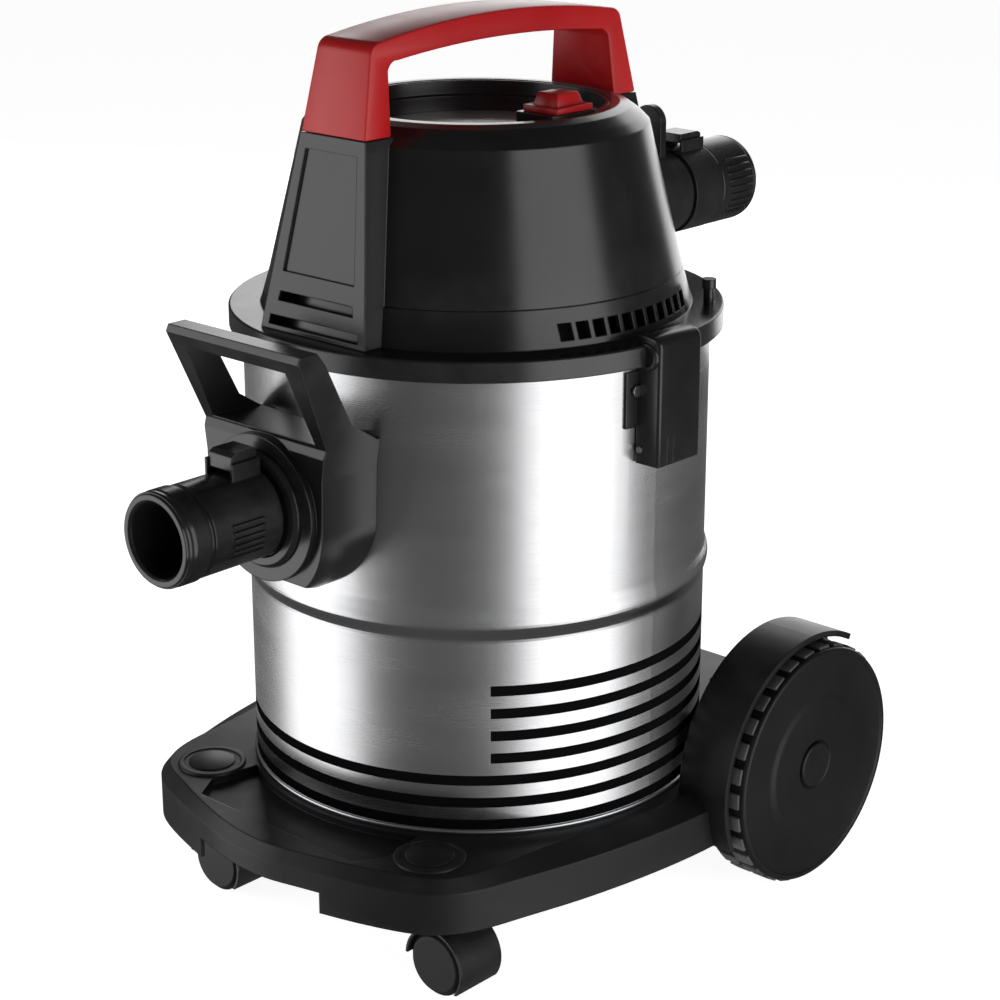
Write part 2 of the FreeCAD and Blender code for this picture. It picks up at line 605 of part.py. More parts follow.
def lever(name):
    """The latch's channel: outer plate, lip over the lid's flange and two cheeks on the pin."""
    face = "latch_face"
    back = "(latch_face - latch_sheet)"
    plate = block(f"lever_plate_{name}", "latch_sheet", "2 * latch_half", "latch_high - latch_low",
                  f"{face} - latch_sheet / 2", "0", "latch_low")
    lip = block(f"lever_lip_{name}", f"{face} - drum_r - 2", "2 * latch_half", "latch_sheet + 1",
                f"({face} + drum_r + 2) / 2", "0", "latch_high - latch_sheet - 1")
    pieces = [plate, lip]
    for n, rise in enumerate(("-latch_half", "latch_half - latch_sheet")):
        pieces.append(prism(f"lever_cheek_{name}_{n}", "XZ_Plane", [
            ("latch_pin_x - 1.5", "latch_pin_z - 3.2"), (face, "latch_low"), (face, "latch_high"),
            ("flange_r + 1.2", "latch_high"), ("flange_r + 1.2", "flange_low - 4"),
            ("latch_pin_x + 0.4", "flange_low - 12"), ("latch_pin_x + 0.4", "latch_pin_z + 8"),
            ("latch_pin_x - 3.2", "latch_pin_z + 1.5"), ("latch_pin_x - 3.2", "latch_pin_z - 1.5"),
        ], "latch_sheet", rise))
    bore = cylinder(f"lever_bore_{name}", "latch_pin_r + run_gap", "60", "latch_pin_x", "30",
                    "latch_pin_z", FORWARD)
    return cut(f"lever_{name}", fuse(f"lever_raw_{name}", *pieces), bore)


# ---------------------------------------------------------------- inlet


def inlet_housing():
    """The moulded inlet with its carry handle: side outline and front outline intersected."""
    z = size("inlet_z")
    front = -size("inlet_front")
    top = size("grip_z")
    grip = -size("grip_y")
    deep = size("grip_deep")
    half = size("grip_half")
    back = 22 - size("drum_r")
    side = [
        (back, z - 58), (back - 22, z - 58), (front, z - 44), (front, z + 40), (front + 2, z + 45),
        (grip, top - 4),
        (grip + 2, top), (grip + deep, top), (grip + deep + 7, top - 9), (front + 22, z + 57),
        (front + 44, z + 43),
        (back, z + 43),
    ]
    prow = slab([Vector(-half, y, h) for y, h in side], Vector(2 * half, 0, 0))
    right = [(half, top + 1), (half, top - 6), (half - 4.3, z + 45), (half - 6.8, z + 26),
             (half - 7.7, z - 8), (half - 7.7, z - 60)]
    shield = [Vector(x, 0, h) for x, h in right] + [Vector(-x, 0, h) for x, h in reversed(right)]
    for point in shield:
        point.y = back + 1
    ahead = Vector(0, -1, 0)
    chin = Part.makeCylinder(half - 7.7, 120, Vector(0, back + 1, z - 8), ahead)
    above = Part.makeBox(2 * half, 120, 140, Vector(-half, back - 119, z - 8))
    shape = prow.common(slab(shield, Vector(0, -120, 0))).common(chin.fuse(above))
    start = 10 - size("drum_r")
    ring = Part.makeCylinder(size("inlet_ring_r"), 4.7 + start - front, Vector(0, start, z), ahead)
    shape = shape.fuse(ring)
    loop = size("loop_half")
    low = size("loop_low")
    bar = top - size("grip_bar")
    gap = loft(
        [Vector(x, front - 63, h) for x, h in ((-loop + 2, bar), (loop - 2, bar), (loop, low),
                                               (-loop, low))],
        [Vector(x, back - 7, h) for x, h in ((-loop + 2, bar), (loop - 2, bar), (loop, low - 6),
                                             (-loop, low - 6))],
    )
    shape = shape.cut(gap)
    cavity = Part.makeCylinder(size("inlet_ring_r") - 3.6, 52, Vector(0, front + 59, z), ahead)
    hollow = cavity.cut(Part.makeCylinder(size("sleeve_r") + 5, 80, Vector(0, front + 70, z), ahead))
    shape = shape.cut(hollow)
    shape = shape.cut(Part.makeCylinder(size("drum_r"), 400, Vector(0, 0, 100)))
    shape = shape.cut(Part.makeCylinder(size("sleeve_r"), 120, Vector(0, front + 87, z), ahead))
    shape = shape.cut(Part.makeCylinder(size("lock_r") + 0.3, 20, Vector(0, front - 0.2, z), ahead))
    reach = size("screw_reach")
    for x in (-reach, reach):
        for h in (z - reach, z + reach):
            shape = shape.cut(Part.makeCylinder(2, 35, Vector(x, 20 - size("drum_r"), h), ahead))
    finish("inlet_housing", drawn("inlet_housing", shape.removeSplitter()))


def inlet_fittings():
    """Sleeve, lock ring, deflector and screws: what sits in the inlet housing."""
    sleeve = lathe("sleeve_turned", [
        ("sleeve_r - sleeve_wall", "0"), ("sleeve_r", "0"), ("sleeve_r", "inlet_reach + 38"),
        ("sleeve_r - 1", "inlet_reach + 39"), ("sleeve_r - sleeve_wall", "inlet_reach + 39"),
    ])
    finish("inlet_sleeve", sleeve, y="drum_y + 10 - drum_r", z="inlet_z", turn=FORWARD)
    ring = lathe("lock_turned", [
        ("sleeve_r", "0"), ("lock_r", "0"), ("lock_r", "6"), ("lock_r - 2", "8.5"), ("sleeve_r + 6", "8.5"),
        ("sleeve_r + 5", "7"), ("sleeve_r", "7"),
    ])
    finish("lock_ring", ring, y="drum_y - inlet_front - 0.2", z="inlet_z", turn=FORWARD)
    outer = cylinder("deflector_outer", "sleeve_r + 3.5", "25.6", y="30.5 - drum_r", z="inlet_z",
                     turn=FORWARD)
    inner = cylinder("deflector_inner", "sleeve_r + 0.1", "26", y="27.5 - drum_r", z="inlet_z",
                     turn=FORWARD)
    mouth = block("deflector_mouth", "2 * sleeve_r - 6", "18", "60", y="18 - drum_r", z="inlet_z - 60")
    finish("inlet_deflector", cut("inlet_deflector", outer, inner, mouth))
    screws = []
    for n, (x, z) in enumerate(inlet_corners()):
        head = cylinder(f"inlet_head_{n}", "4", "3", x, "9 - drum_r", z, FORWARD)
        shank = cylinder(f"inlet_shank_{n}", "2", "20", x, "6 - drum_r", z, FORWARD)
        screws.append(fuse(f"inlet_screw_{n}", head, shank))
    finish("inlet_screws", group("inlet_screws", *screws))


# ---------------------------------------------------------------- cuffs


def grip_ribs(name, radius, start, long, angles):
    """Raised grip ribs along a cuff, one at each angle, drawn about Z."""
    ribs = []
    for n, angle in enumerate(angles):
        rib = DOC.addObject("Part::Box", f"{name}_rib_{n}")
        bind(rib, "Length", "2.4")
        bind(rib, "Width", "1.6")
        bind(rib, "Height", long)
        turn = math.radians(angle)
        rib.Placement = Placement(Vector(), Rotation(UP, angle))
        bind(rib, "Placement.Base.x",
             f"({radius} - 1.6) * {math.cos(turn):.5f} + 0.8 * {math.sin(turn):.5f}")
        bind(rib, "Placement.Base.y",
             f"({radius} - 1.6) * {math.sin(turn):.5f} - 0.8 * {math.cos(turn):.5f}")
        bind(rib, "Placement.Base.z", start)
        ribs.append(rib)
    return ribs


def saddle(name, radius, start, long, tall):
    """The pair of cheeks that guide a release button, on the cuff's +Y side before it is turned."""
    cheeks = []
    for n, side in enumerate(("-", "")):
        cheeks.append(block(f"{name}_cheek_{n}", "1.8", f"{tall} + 6", long,
                            f"{side}(button_wide / 2 + 1.2)",
                            f"{radius} + {tall} / 2 - 3", start))
    return cheeks


def hose_cuff():
    start = "inlet_front + 11"
    turned = lathe("cuff_turned", [
        ("sleeve_r + slide_gap", "0"), ("cuff_r", "0"), ("cuff_r", "cuff_long - 22"),
        ("cuff_r - 1.2", "cuff_long - 21"),
        ("cuff_r - 1.2", "cuff_long - 18.5"), ("cuff_r + 0.8", "cuff_long - 17"),
        ("cuff_r + 0.8", "cuff_long - 7"),
        ("cuff_r - 1", "cuff_long"), ("cuff_bore + 1.6", "cuff_long"), ("cuff_bore", "cuff_long - 1.6"),
        ("cuff_bore", "19"), ("sleeve_r + slide_gap", "19"),
    ])
    angles = [side + step for side in (0, 180) for step in (-28, -20, -12, -4, 4, 12)]
    pieces = [turned, *grip_ribs("cuff", "(cuff_r + 0.8)", "15", "24", angles),
              *saddle("cuff", "cuff_r", "2", "22", "8")]
    finish("hose_cuff", fuse("hose_cuff", *pieces), y=f"drum_y - ({start})", z="inlet_z", turn=FORWARD)
    button = prism("cuff_button_block", "YZ_Plane", [
        ("cuff_r + button_travel + 0.4", "3"), ("cuff_r + 13.6", "3"), ("cuff_r + 13.6", "19"),
        ("cuff_r + 11.5", "22.5"), ("cuff_r + button_travel + 0.4", "22.5"),
    ], "button_wide", "-button_wide / 2")
    finish("hose_cuff_button", button, y=f"drum_y - ({start})", z="inlet_z", turn=FORWARD)


def outlet():
    """Rear blower port: fixed neck, cuff, swivel collar and release button."""
    port = lathe("port_turned", [
        ("spigot_r - spigot_wall", "0"), ("port_r", "0"), ("port_r", "outlet_face - port_start - 2"),
        ("spigot_r", "outlet_face - port_start - 1"), ("spigot_r", "outlet_face - port_start + 20"),
        ("spigot_r - spigot_wall", "outlet_face - port_start + 20"),
    ])
    behind = "outlet_face - port_start - 19"
    tab = block("port_tab", "23", "23.5", "6", y="port_r + 9.75", z=behind)
    tab_top = cylinder("port_tab_top", "11.5", "6", y="port_r + 21.5", z=behind)
    core = fuse("outlet_port", port, tab, tab_top)
    finish("outlet_port", core, y="drum_y + port_start", z="outlet_z", turn=BACKWARD)
    cuff = lathe("outlet_cuff_turned", [
        ("spigot_r + slide_gap", "0"), ("outlet_r - 0.6", "0"),
        ("outlet_r - 0.6", "swivel_y - outlet_face"),
        ("cuff_bore + 3", "swivel_y - outlet_face"), ("cuff_bore + 3", "outlet_end - outlet_face - 4"),
        ("cuff_bore", "outlet_end - outlet_face - 4"), ("cuff_bore", "22"), ("spigot_r + slide_gap", "22"),
    ])
    cheeks = saddle("outlet", "outlet_r", "4", "24", "5")
    finish("outlet_cuff", fuse("outlet_cuff", cuff, *cheeks), y="drum_y + outlet_face", z="outlet_z",
           turn=BACKWARD)
    collar = lathe("collar_turned", [
        ("cuff_bore + 3 + slide_gap", "0"), ("outlet_r - 0.8", "0"),
        ("outlet_r - 0.8", "outlet_end - swivel_y - 2.4"),
        ("outlet_r - 2", "outlet_end - swivel_y - 0.6"), ("cuff_bore + 1", "outlet_end - swivel_y - 0.6"),
        ("cuff_bore + 1", "outlet_end - swivel_y - 4.2"),
        ("cuff_bore + 3 + slide_gap", "outlet_end - swivel_y - 4.2"),
    ])
    ribs = grip_ribs("collar", "outlet_r", "2", "outlet_end - swivel_y - 5", range(0, 360, 15))
    finish("outlet_collar", fuse("outlet_collar", collar, *ribs), y="drum_y + swivel_y + 0.6", z="outlet_z",
           turn=BACKWARD)
    button = prism("outlet_button_block", "YZ_Plane", [
        ("outlet_r + button_travel + 0.4", "5"), ("outlet_r + 9", "5"), ("outlet_r + 9", "24"),
        ("outlet_r + 7.5", "27"), ("outlet_r + button_travel + 0.4", "27"),
    ], "button_wide", "-button_wide / 2")
    finish("outlet_button", button, y="drum_y + outlet_face", z="outlet_z", turn=BACKWARD)


# ---------------------------------------------------------------- lid and cover


def lid():
    turned = lathe("lid_turned", [
        ("channel_out", "flange_low"), ("flange_r", "flange_low"), ("flange_r", "flange_top - 1"),
        ("flange_r - 1", "flange_top"), ("house_r", "flange_top"), ("seam_r", "seam_z"),
        ("seam_r - shell", "seam_z"),
        ("house_r - shell - 0.5", "flange_top"), ("house_r - shell - 0.5", "plate_top"),
        ("motor_hole", "plate_top"),
        ("motor_hole", "plate_low"), ("channel_in - 2.5", "plate_low"), ("channel_in - 2.5", "flange_low"),
        ("channel_in", "flange_low"), ("channel_in", "drum_top + 2.3"), ("channel_out", "drum_top + 2.3"),
    ])
    slots = [block(f"vent_{n}", "2 * drum_r", "8", "10", y=str(11 * n),
                   z="flange_top + 4") for n in range(-5, 6)]
    slots.append(cylinder("port_notch", "port_r + 0.3", "80", y="port_start", z="outlet_z", turn=BACKWARD))
    slots.append(cylinder("gland_hole", "6.4", "20", "9.6 - house_r * 0.7071", "house_r * 0.7071 - 9.6",
                          "flange_top + 12", Rotation(Vector(1, 1, 0), -90)))
    post_place = ("(flange_r - 10) * 0.8", "(flange_r - 10) * 0.6")
    hook_post = cylinder("hook_post", "3.4", "16", *post_place, "flange_top - 1")
    hook_head = cylinder("hook_head", "4.6", "6", *post_place, "flange_top + 9")
    finish("lid_base", cut("lid_base", fuse("lid_raw", turned, hook_post, hook_head), *slots))
    seal = lathe("seal_turned", [
        ("channel_in + 0.3", "drum_top + 0.3"), ("channel_out - 0.3", "drum_top + 0.3"),
        ("channel_out - 0.3", "drum_top + 2.3"), ("channel_in + 0.3", "drum_top + 2.3"),
    ])
    finish("lid_seal", seal)


def column_loop(inset, z):
    """A column's level section at one height, on the -Y side."""
    low = size("flange_top")
    high = size("column_top")
    part = (z - low) / (high - low)
    half = size("column_half") + (size("column_half_top") - size("column_half")) * part
    front = size("column_y") + (size("column_y_top") - size("column_y")) * part
    return oblong(half - inset, -front + inset, -80, z)


def recess_loop(margin, depth, z):
    """A level section of a panel sunk into the column's face."""
    loop = column_loop(0, z)
    half = loop[1].x - margin
    return oblong(half, loop[0].y - 10, loop[0].y + depth, z)


def motor_cover():
    """Conical cover, hollow, with a hollow column front and back that carries the handle."""
    wall = size("shell")
    seam = size("seam_z") + 0.3
    shoulder = size("shoulder_z")
    crest = size("crest_z")
    r_low = size("seam_r")
    r_high = size("shoulder_r")
    round_r = size("crest_r")
    outer = cone(r_low, seam, r_high, shoulder).fuse([
        cone(r_high, shoulder, r_high - 5, shoulder + 5), cone(r_high - 5, shoulder + 5, r_high - 12,
                                                               crest - 2),
        cone(r_high - 12, crest - 2, round_r + 6, crest),
    ])
    inner = cone(r_low - wall, seam - 1, r_high - wall, shoulder - 1).fuse([
        cone(r_high - wall, shoulder - 1, r_high - 13, crest - 4.5),
        Part.makeCylinder(round_r, 30, Vector(0, 0, crest - 20)),
    ])
    low = size("flange_top") + 0.2
    top = size("column_top")
    house = cone(size("house_r") + 0.3, low - 1, size("seam_r") + 0.3, seam)
    for turn in (0, 180):
        column = loft(column_loop(0, low), column_loop(0, top))
        hollow = loft(column_loop(wall, low - 1), column_loop(wall, top - wall))
        panel = loft(recess_loop(9, 1.6, low + 36), recess_loop(7, 1.6, top - 9))
        scoop = loft(recess_loop(10, 8, low + 18), recess_loop(10.5, 8, low + 24))
        slot = loft(recess_loop(6, 8, low + 3), recess_loop(6, 8, low + 9))
        column = column.cut(panel).cut(scoop).cut(slot)
        for shape in (column, hollow):
            shape.rotate(Vector(), UP, turn)
        outer = outer.fuse(column)
        inner = inner.fuse(hollow)
    shape = outer.cut(inner).cut(house)
    behind = Part.makeCylinder(size("port_r") + 0.1, 120, Vector(0, 80, size("outlet_z")), Vector(0, 1, 0))
    shape = shape.cut(behind)
    for x, y in handle_screw_places():
        shape = shape.cut(Part.makeCylinder(2, 20, Vector(x, y, top - 10)))
    finish("motor_cover", drawn("motor_cover", shape.removeSplitter()))


def handle_screw_places():
    middle = size("column_y_top") - size("handle_deep") / 2
    return [(x, y) for x in (-14, 14) for y in (-middle, middle)]


def red_handle():
    """The fixed carry handle: a side outline with arcs, narrowed toward the top."""
    foot_y = size("column_y_top")
    foot_z = size("column_top") + 0.2
    deep = size("handle_deep")
    corner_y = size("handle_corner_y")
    corner_z = size("handle_corner_z")
    crown = size("handle_crown")
    under = crown - size("handle_bar")

    def curve(*points):
        arc = Part.Arc(*[Vector(0, y, z) for y, z in points])
        return arc.toShape()

    def line(*points):
        return Part.makeLine(*[Vector(0, y, z) for y, z in points])

    inner_y = corner_y - deep + 8
    inner_z = corner_z - 10
    edges = [
        line((-foot_y, foot_z), (-corner_y, corner_z)),
        curve((-corner_y, corner_z), (-corner_y + 3, corner_z + 5.5), (-corner_y + 9, corner_z + 8)),
        curve((-corner_y + 9, corner_z + 8), (0, crown), (corner_y - 9, corner_z + 8)),
        curve((corner_y - 9, corner_z + 8), (corner_y - 3, corner_z + 5.5), (corner_y, corner_z)),
        line((corner_y, corner_z), (foot_y, foot_z)),
        line((foot_y, foot_z), (foot_y - deep, foot_z)),
        line((foot_y - deep, foot_z), (inner_y, inner_z)),
        curve((inner_y, inner_z), (inner_y - 3, inner_z + 4), (inner_y - 9, inner_z + 5.5)),
        curve((inner_y - 9, inner_z + 5.5), (0, under), (-inner_y + 9, inner_z + 5.5)),
        curve((-inner_y + 9, inner_z + 5.5), (-inner_y + 3, inner_z + 4), (-inner_y, inner_z)),
        line((-inner_y, inner_z), (-foot_y + deep, foot_z)),
        line((-foot_y + deep, foot_z), (-foot_y, foot_z)),
    ]
    side = Part.Face(Part.Wire(edges))
    wide = size("column_half_top")
    top = size("handle_half_top")
    solid = side.extrude(Vector(2 * wide, 0, 0))
    solid.translate(Vector(-wide, 0, 0))
    front = [(-wide, foot_z), (wide, foot_z), (top, corner_z), (top, crown + 1), (-top, crown + 1),
             (-top, corner_z)]
    shield = slab([Vector(x, -200, z) for x, z in front], Vector(0, 400, 0))
    solid = solid.common(shield)
    shoulder = size("shoulder_z") + 5
    solid = solid.cut(cone(size("shoulder_r") - 4.7, shoulder, size("shoulder_r") - 11.7,
                           size("crest_z") - 2))
    for x, y in handle_screw_places():
        solid = solid.cut(Part.makeCylinder(2, 16, Vector(x, y, foot_z - 1)))
    finish("carry_handle", drawn("carry_handle", solid))
    screws = []
    for x, y in handle_screw_places():
        under_wall = size("column_top") - size("shell")
        head = Part.makeCylinder(4, 3, Vector(x, y, under_wall - 3))
        screws.append(head.fuse(Part.makeCylinder(2, 16, Vector(x, y, under_wall))))
    finish("handle_screws", drawn("handle_screws", Part.makeCompound(screws)))


def top_bowl():
    turned = lathe("bowl_turned", [
        ("crest_r - 0.2", "crest_z - 0.4"), ("crest_r - 3", "crest_z - 0.4"),
        ("crest_r - 3.8", "crest_z - 9"),
        ("crest_r - 6.5", "crest_z - 10"), ("crest_r - 7.2", "crest_z - 22"), ("0", "crest_z - 22"),
        ("0", "crest_z - 25"), ("crest_r - 4.2", "crest_z - 25"), ("crest_r - 3.4", "crest_z - 12"),
        ("crest_r - 0.2", "crest_z - 10"),
    ])
    pod = DOC.addObject("Part::MultiCommon", "switch_pod")
    pod.Shapes = [
        block("pod_block", "switch_wide + 4", "switch_long + 7", "switch_z - crest_z + 22", "switch_x", "0",
              "crest_z - 22"),
        cylinder("pod_limit", "crest_r - 0.2", "60", z="crest_z - 30"),
    ]
    well = block("pod_well", "switch_wide - 7", "switch_long - 8", "20", "switch_x", "0", "switch_z - 8")
    finish("top_bowl", cut("top_bowl", fuse("bowl_raw", turned, pod), well))
    plate = lathe("disc_turned", [
        ("0", "crest_z - 22"), ("crest_r - 7.6", "crest_z - 22"), ("crest_r - 7.6", "crest_z - 20.2"),
        ("crest_r - 8.4", "crest_z - 19.5"), ("0", "crest_z - 19.5"),
    ])
    keep_out = block("disc_notch", "switch_wide + 5", "switch_long + 8", "20", "switch_x", "0",
                     "crest_z - 30")
    finish("top_disc", cut("top_disc", plate, keep_out))


def switch():
    frame = block("switch_frame_block", "switch_wide", "switch_long", "switch_rise", "switch_x", "0",
                  "switch_z")
    opening = block("switch_frame_well", "switch_wide - 7", "switch_long - 8", "20", "switch_x", "0",
                    "switch_z - 5")
    finish("switch_frame", cut("switch_frame", frame, opening))
    half_x = size("switch_wide") / 2 - 4
    half_y = size("switch_long") / 2 - 4.5
    x = size("switch_x")
    z = size("switch_z")
    low = [Vector(x + a * half_x, b * half_y, z - 2) for a, b in ((-1, -1), (1, -1), (1, 1), (-1, 1))]
    waist = [Vector(p.x, p.y, z + size("switch_rise") + 0.5) for p in low]
    high = [Vector(x + (p.x - x) * 0.8, p.y * 0.8, z + size("switch_rise") + 7.5) for p in low]
    finish("switch_button", drawn("switch_button", loft(low,
                                                        waist).fuse(loft(waist,
                                                                         high)).removeSplitter()))


# ---------------------------------------------------------------- float and filter


def float_and_filter():
    floor = "plate_low"
    cage = lathe("cage_turned", [
        ("0", "cage_low"), ("cage_r", "cage_low"), ("cage_r", floor + " - 3"),
        ("cage_r + 3.5", floor + " - 3"),
        ("cage_r + 3.5", floor), ("seat_r", floor), ("seat_r", floor + " - 3"),
        ("cage_r - 2.5", floor + " - 3"),
        ("cage_r - 2.5", "cage_low + 3"), ("0", "cage_low + 3"),
    ])
    windows = []
    for n in range(3):
        window = DOC.addObject("Part::Box", f"cage_window_{n}")
        bind(window, "Length", "4 * cage_r")
        bind(window, "Width", "24")
        bind(window, "Height", f"{floor} - cage_low - 24")
        turn = Rotation(UP, 60 * n)
        window.Placement = Placement(Vector(), turn)
        bind(window, "Placement.Base.y", f"cage_r * {turn.multVec(Vector(-2, 0, 0)).y:.5f}"
                                         f" - {12 * math.cos(math.radians(60 * n)):.5f}")
        bind(window, "Placement.Base.x", f"cage_r * {turn.multVec(Vector(-2, 0, 0)).x:.5f}"
                                         f" + {12 * math.sin(math.radians(60 * n)):.5f}")
        bind(window, "Placement.Base.z", "cage_low + 12")
        windows.append(window)
    finish("float_cage", cut("float_cage", cage, *windows))
    ball = DOC.addObject("Part::Sphere", "ball")
    bind(ball, "Radius", "ball_r")
    place(ball, z="cage_low + 3.3 + ball_r")
    finish("float_ball", group("float_ball", ball))
    cloth = lathe("cloth_turned", [
        ("filter_r", "filter_low + 3.2"), ("filter_r + 5", "filter_low + 3.2"),
        ("filter_r + 5", floor + " - 4"),
        ("filter_r", floor + " - 4"),
    ])
    finish("filter_cloth", cloth)
    cap = lathe("cap_turned", [
        ("0", "filter_low"), ("filter_r + 6", "filter_low"), ("filter_r + 6", "filter_low + 8"),
        ("filter_r + 5", "filter_low + 8"), ("filter_r + 5", "filter_low + 3.2"), ("0", "filter_low + 3.2"),
    ])
    finish("filter_cap", cap)


# ---------------------------------------------------------------- motor


def motor():
    base = "plate_top"
    case = "fan_case_r"

    def ring(label, inner, outer, low, high):
        turned = lathe(label + "_turned", [(inner, low), (outer, low), (outer, high), (inner, high)])
        finish(label, turned)

    ring("motor_gasket", "motor_hole + 4", f"{case} + 3", base, f"{base} + 4")
    fan_case = lathe("fan_case_turned", [
        ("22", f"{base} + 4"), (case, f"{base} + 4"), (case, f"{base} + 34"),
        (f"{case} - 1.6", f"{base} + 34"),
        (f"{case} - 1.6", f"{base} + 5.6"), ("22", f"{base} + 5.6"),
    ])
    finish("fan_housing", fan_case)
    wheel = lathe("impeller_turned", [
        ("shaft_r", f"{base} + 9"), ("14", f"{base} + 9"), ("14", f"{base} + 26"),
        ("fan_r", f"{base} + 26"),
        ("fan_r", f"{base} + 27.5"), ("shaft_r", f"{base} + 27.5"),
    ])
    blades = []
    for n in range(9):
        blade = DOC.addObject("Part::Box", f"blade_{n}")
        bind(blade, "Length", "fan_r - 16")
        bind(blade, "Width", "1.4")
        bind(blade, "Height", "15.5")
        turn = math.radians(40 * n)
        blade.Placement = Placement(Vector(13.5 * math.cos(turn), 13.5 * math.sin(turn), 0),
                                    Rotation(UP, 40 * n))
        bind(blade, "Placement.Base.z", f"{base} + 10.7")
        blades.append(blade)
    finish("impeller", fuse("impeller", wheel, *blades))
    frame = lathe("frame_turned", [
        ("bearing_r", f"{base} + 34"), (case, f"{base} + 34"), (case, f"{base} + 37"),
        ("stator_r + 3", f"{base} + 37"),
        ("stator_r + 3", f"{base} + 92"), ("bearing_r", f"{base} + 92"), ("bearing_r", f"{base} + 85"),
        ("stator_r", f"{base} + 85"), ("stator_r", f"{base} + 41"), ("bearing_r", f"{base} + 41"),
    ])
    side_cut = block("frame_window", "4 * stator_r", "30", "30", z=f"{base} + 46")
    end_cut = block("frame_window_end", "30", "4 * stator_r", "30", z=f"{base} + 46")
    finish("motor_frame", cut("motor_frame", frame, side_cut, end_cut))
    shaft = cylinder("shaft_rod", "shaft_r", "88", z=f"{base} + 7")
    finish("motor_shaft", group("motor_shaft", shaft))
    ring("armature", "shaft_r", "rotor_r", f"{base} + 47", f"{base} + 71")
    ring("commutator", "shaft_r", "13", f"{base} + 73", f"{base} + 82")
    ring("stator", "rotor_r + 1", "stator_r", f"{base} + 46", f"{base} + 72")
    bearings = []
    for n, low in enumerate((34, 85)):
        bearings.append(lathe(f"bearing_{n}", [
            ("shaft_r + run_gap", f"{base} + {low}"), ("bearing_r", f"{base} + {low}"),
            ("bearing_r", f"{base} + {low} + 7"), ("shaft_r + run_gap", f"{base} + {low} + 7"),
        ]))
    finish("motor_bearings", group("motor_bearings", *bearings))
    brushes = []
    for n, side in enumerate(("-", "")):
        brushes.append(block(f"brush_{n}", "stator_r - 14.6", "8", "6", f"{side}(stator_r + 12.2) / 2", "0",
                             f"{base} + 75"))
    finish("carbon_brushes", group("carbon_brushes", *brushes))
    ring("silencer_foam", "foam_in", "foam_out", "seam_z + 6", "seam_z + 56")


def cord_gland():
    """The rubber strain relief at the lid's rear left, with its cord bore empty."""
    z = size("flange_top") + 12
    ahead = Vector(-1, 1, 0).normalize()
    wall = ahead * (size("house_r") + 0.4) + Vector(0, 0, z)
    body = Part.makeCylinder(6.4, 9, wall - ahead * 9, ahead)
    body = body.fuse([Part.makeCylinder(9, 3, wall, ahead), Part.makeCone(7, 5.5, 19, wall, ahead)])
    finish("cord_gland", drawn("cord_gland", body.cut(Part.makeCylinder(3.6, 40, wall - ahead * 10,
                                                                        ahead))))


# ---------------------------------------------------------------- build, check and write


dolly_deck()
caps_and_axles()
rear_wheels()
caster("left", "-")
caster("right", "")
drum()
latches()
inlet_housing()
inlet_fittings()
hose_cuff()
outlet()
lid()
motor_cover()
red_handle()
top_bowl()
switch()
float_and_filter()
motor()
cord_gland()
DOC.recompute()

faults = [thing.Name for thing in DOC.Objects if {"Invalid", "Error"} & set(thing.State)]
faults += [label for label, thing in PARTS.items() if thing.Shape.isNull() or not thing.Shape.isValid()]
if faults:
    sys.exit("not built: " + ", ".join(faults))
os.makedirs("parts", exist_ok=True)
for label, thing in PARTS.items():
    thing.Shape.exportStep(f"parts/{label}.step")
print(len(PARTS), "sub-parts written")
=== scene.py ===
# %% [markdown]
# # A drum shop vacuum, dressed for a studio render
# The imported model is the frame. It says where every part stands and which body it moves
# with, so a piece made here takes its place from that frame and is never fitted by eye.

# %% Load the frame
import json
import math

import bpy
from mathutils import Euler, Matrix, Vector


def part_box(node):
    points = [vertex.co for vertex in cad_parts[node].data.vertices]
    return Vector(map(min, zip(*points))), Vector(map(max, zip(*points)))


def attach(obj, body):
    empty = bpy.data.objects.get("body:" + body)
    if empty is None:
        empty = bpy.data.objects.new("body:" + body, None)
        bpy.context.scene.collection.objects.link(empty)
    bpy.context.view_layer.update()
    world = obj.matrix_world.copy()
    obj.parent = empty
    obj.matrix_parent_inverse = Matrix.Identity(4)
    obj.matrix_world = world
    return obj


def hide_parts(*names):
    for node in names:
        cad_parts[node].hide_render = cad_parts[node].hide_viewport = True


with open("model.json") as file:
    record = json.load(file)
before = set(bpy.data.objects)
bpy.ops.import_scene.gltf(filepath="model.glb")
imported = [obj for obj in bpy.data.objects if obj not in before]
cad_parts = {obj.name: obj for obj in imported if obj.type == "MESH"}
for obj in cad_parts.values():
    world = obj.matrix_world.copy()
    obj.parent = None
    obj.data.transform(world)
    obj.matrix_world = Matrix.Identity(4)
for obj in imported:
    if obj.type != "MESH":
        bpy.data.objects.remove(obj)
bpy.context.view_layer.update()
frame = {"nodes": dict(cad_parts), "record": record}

# %% [markdown]
# ## Looking things up
# A piece rides on the body that its CAD node belongs to, and takes its finish from the
# same slot of the record. Both lists are turned round once, so that a node's name is
# enough. The drum's axis is upright and a little behind the frame's middle. Reading it
# from the drum's own box keeps it right if the drum is ever moved.

# %% Bodies, slots and the drum's axis
record = frame["record"]
body_of = {node: body for body, nodes in record["behaviour"]["bodies"].items() for node in nodes}
slot_of = {part["node"]: part["material_slot"] for part in record["subparts"]}


def middle(node):
    """The centre of a CAD node's box."""
    low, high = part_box(node)
    return (low + high) / 2


AXIS = middle("drum_shell")
DRUM_LOW, DRUM_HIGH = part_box("drum_shell")
print("drum axis at", round(AXIS.x, 4), round(AXIS.y, 4))

# %% [markdown]
# ## Hand tools
# Operators act on whatever is selected, and loading the frame leaves all of it selected.
# These few helpers do what a hand does first: take hold of one thing only, go in and out
# of edit mode, and pick faces or edges by where they are or which way they look.


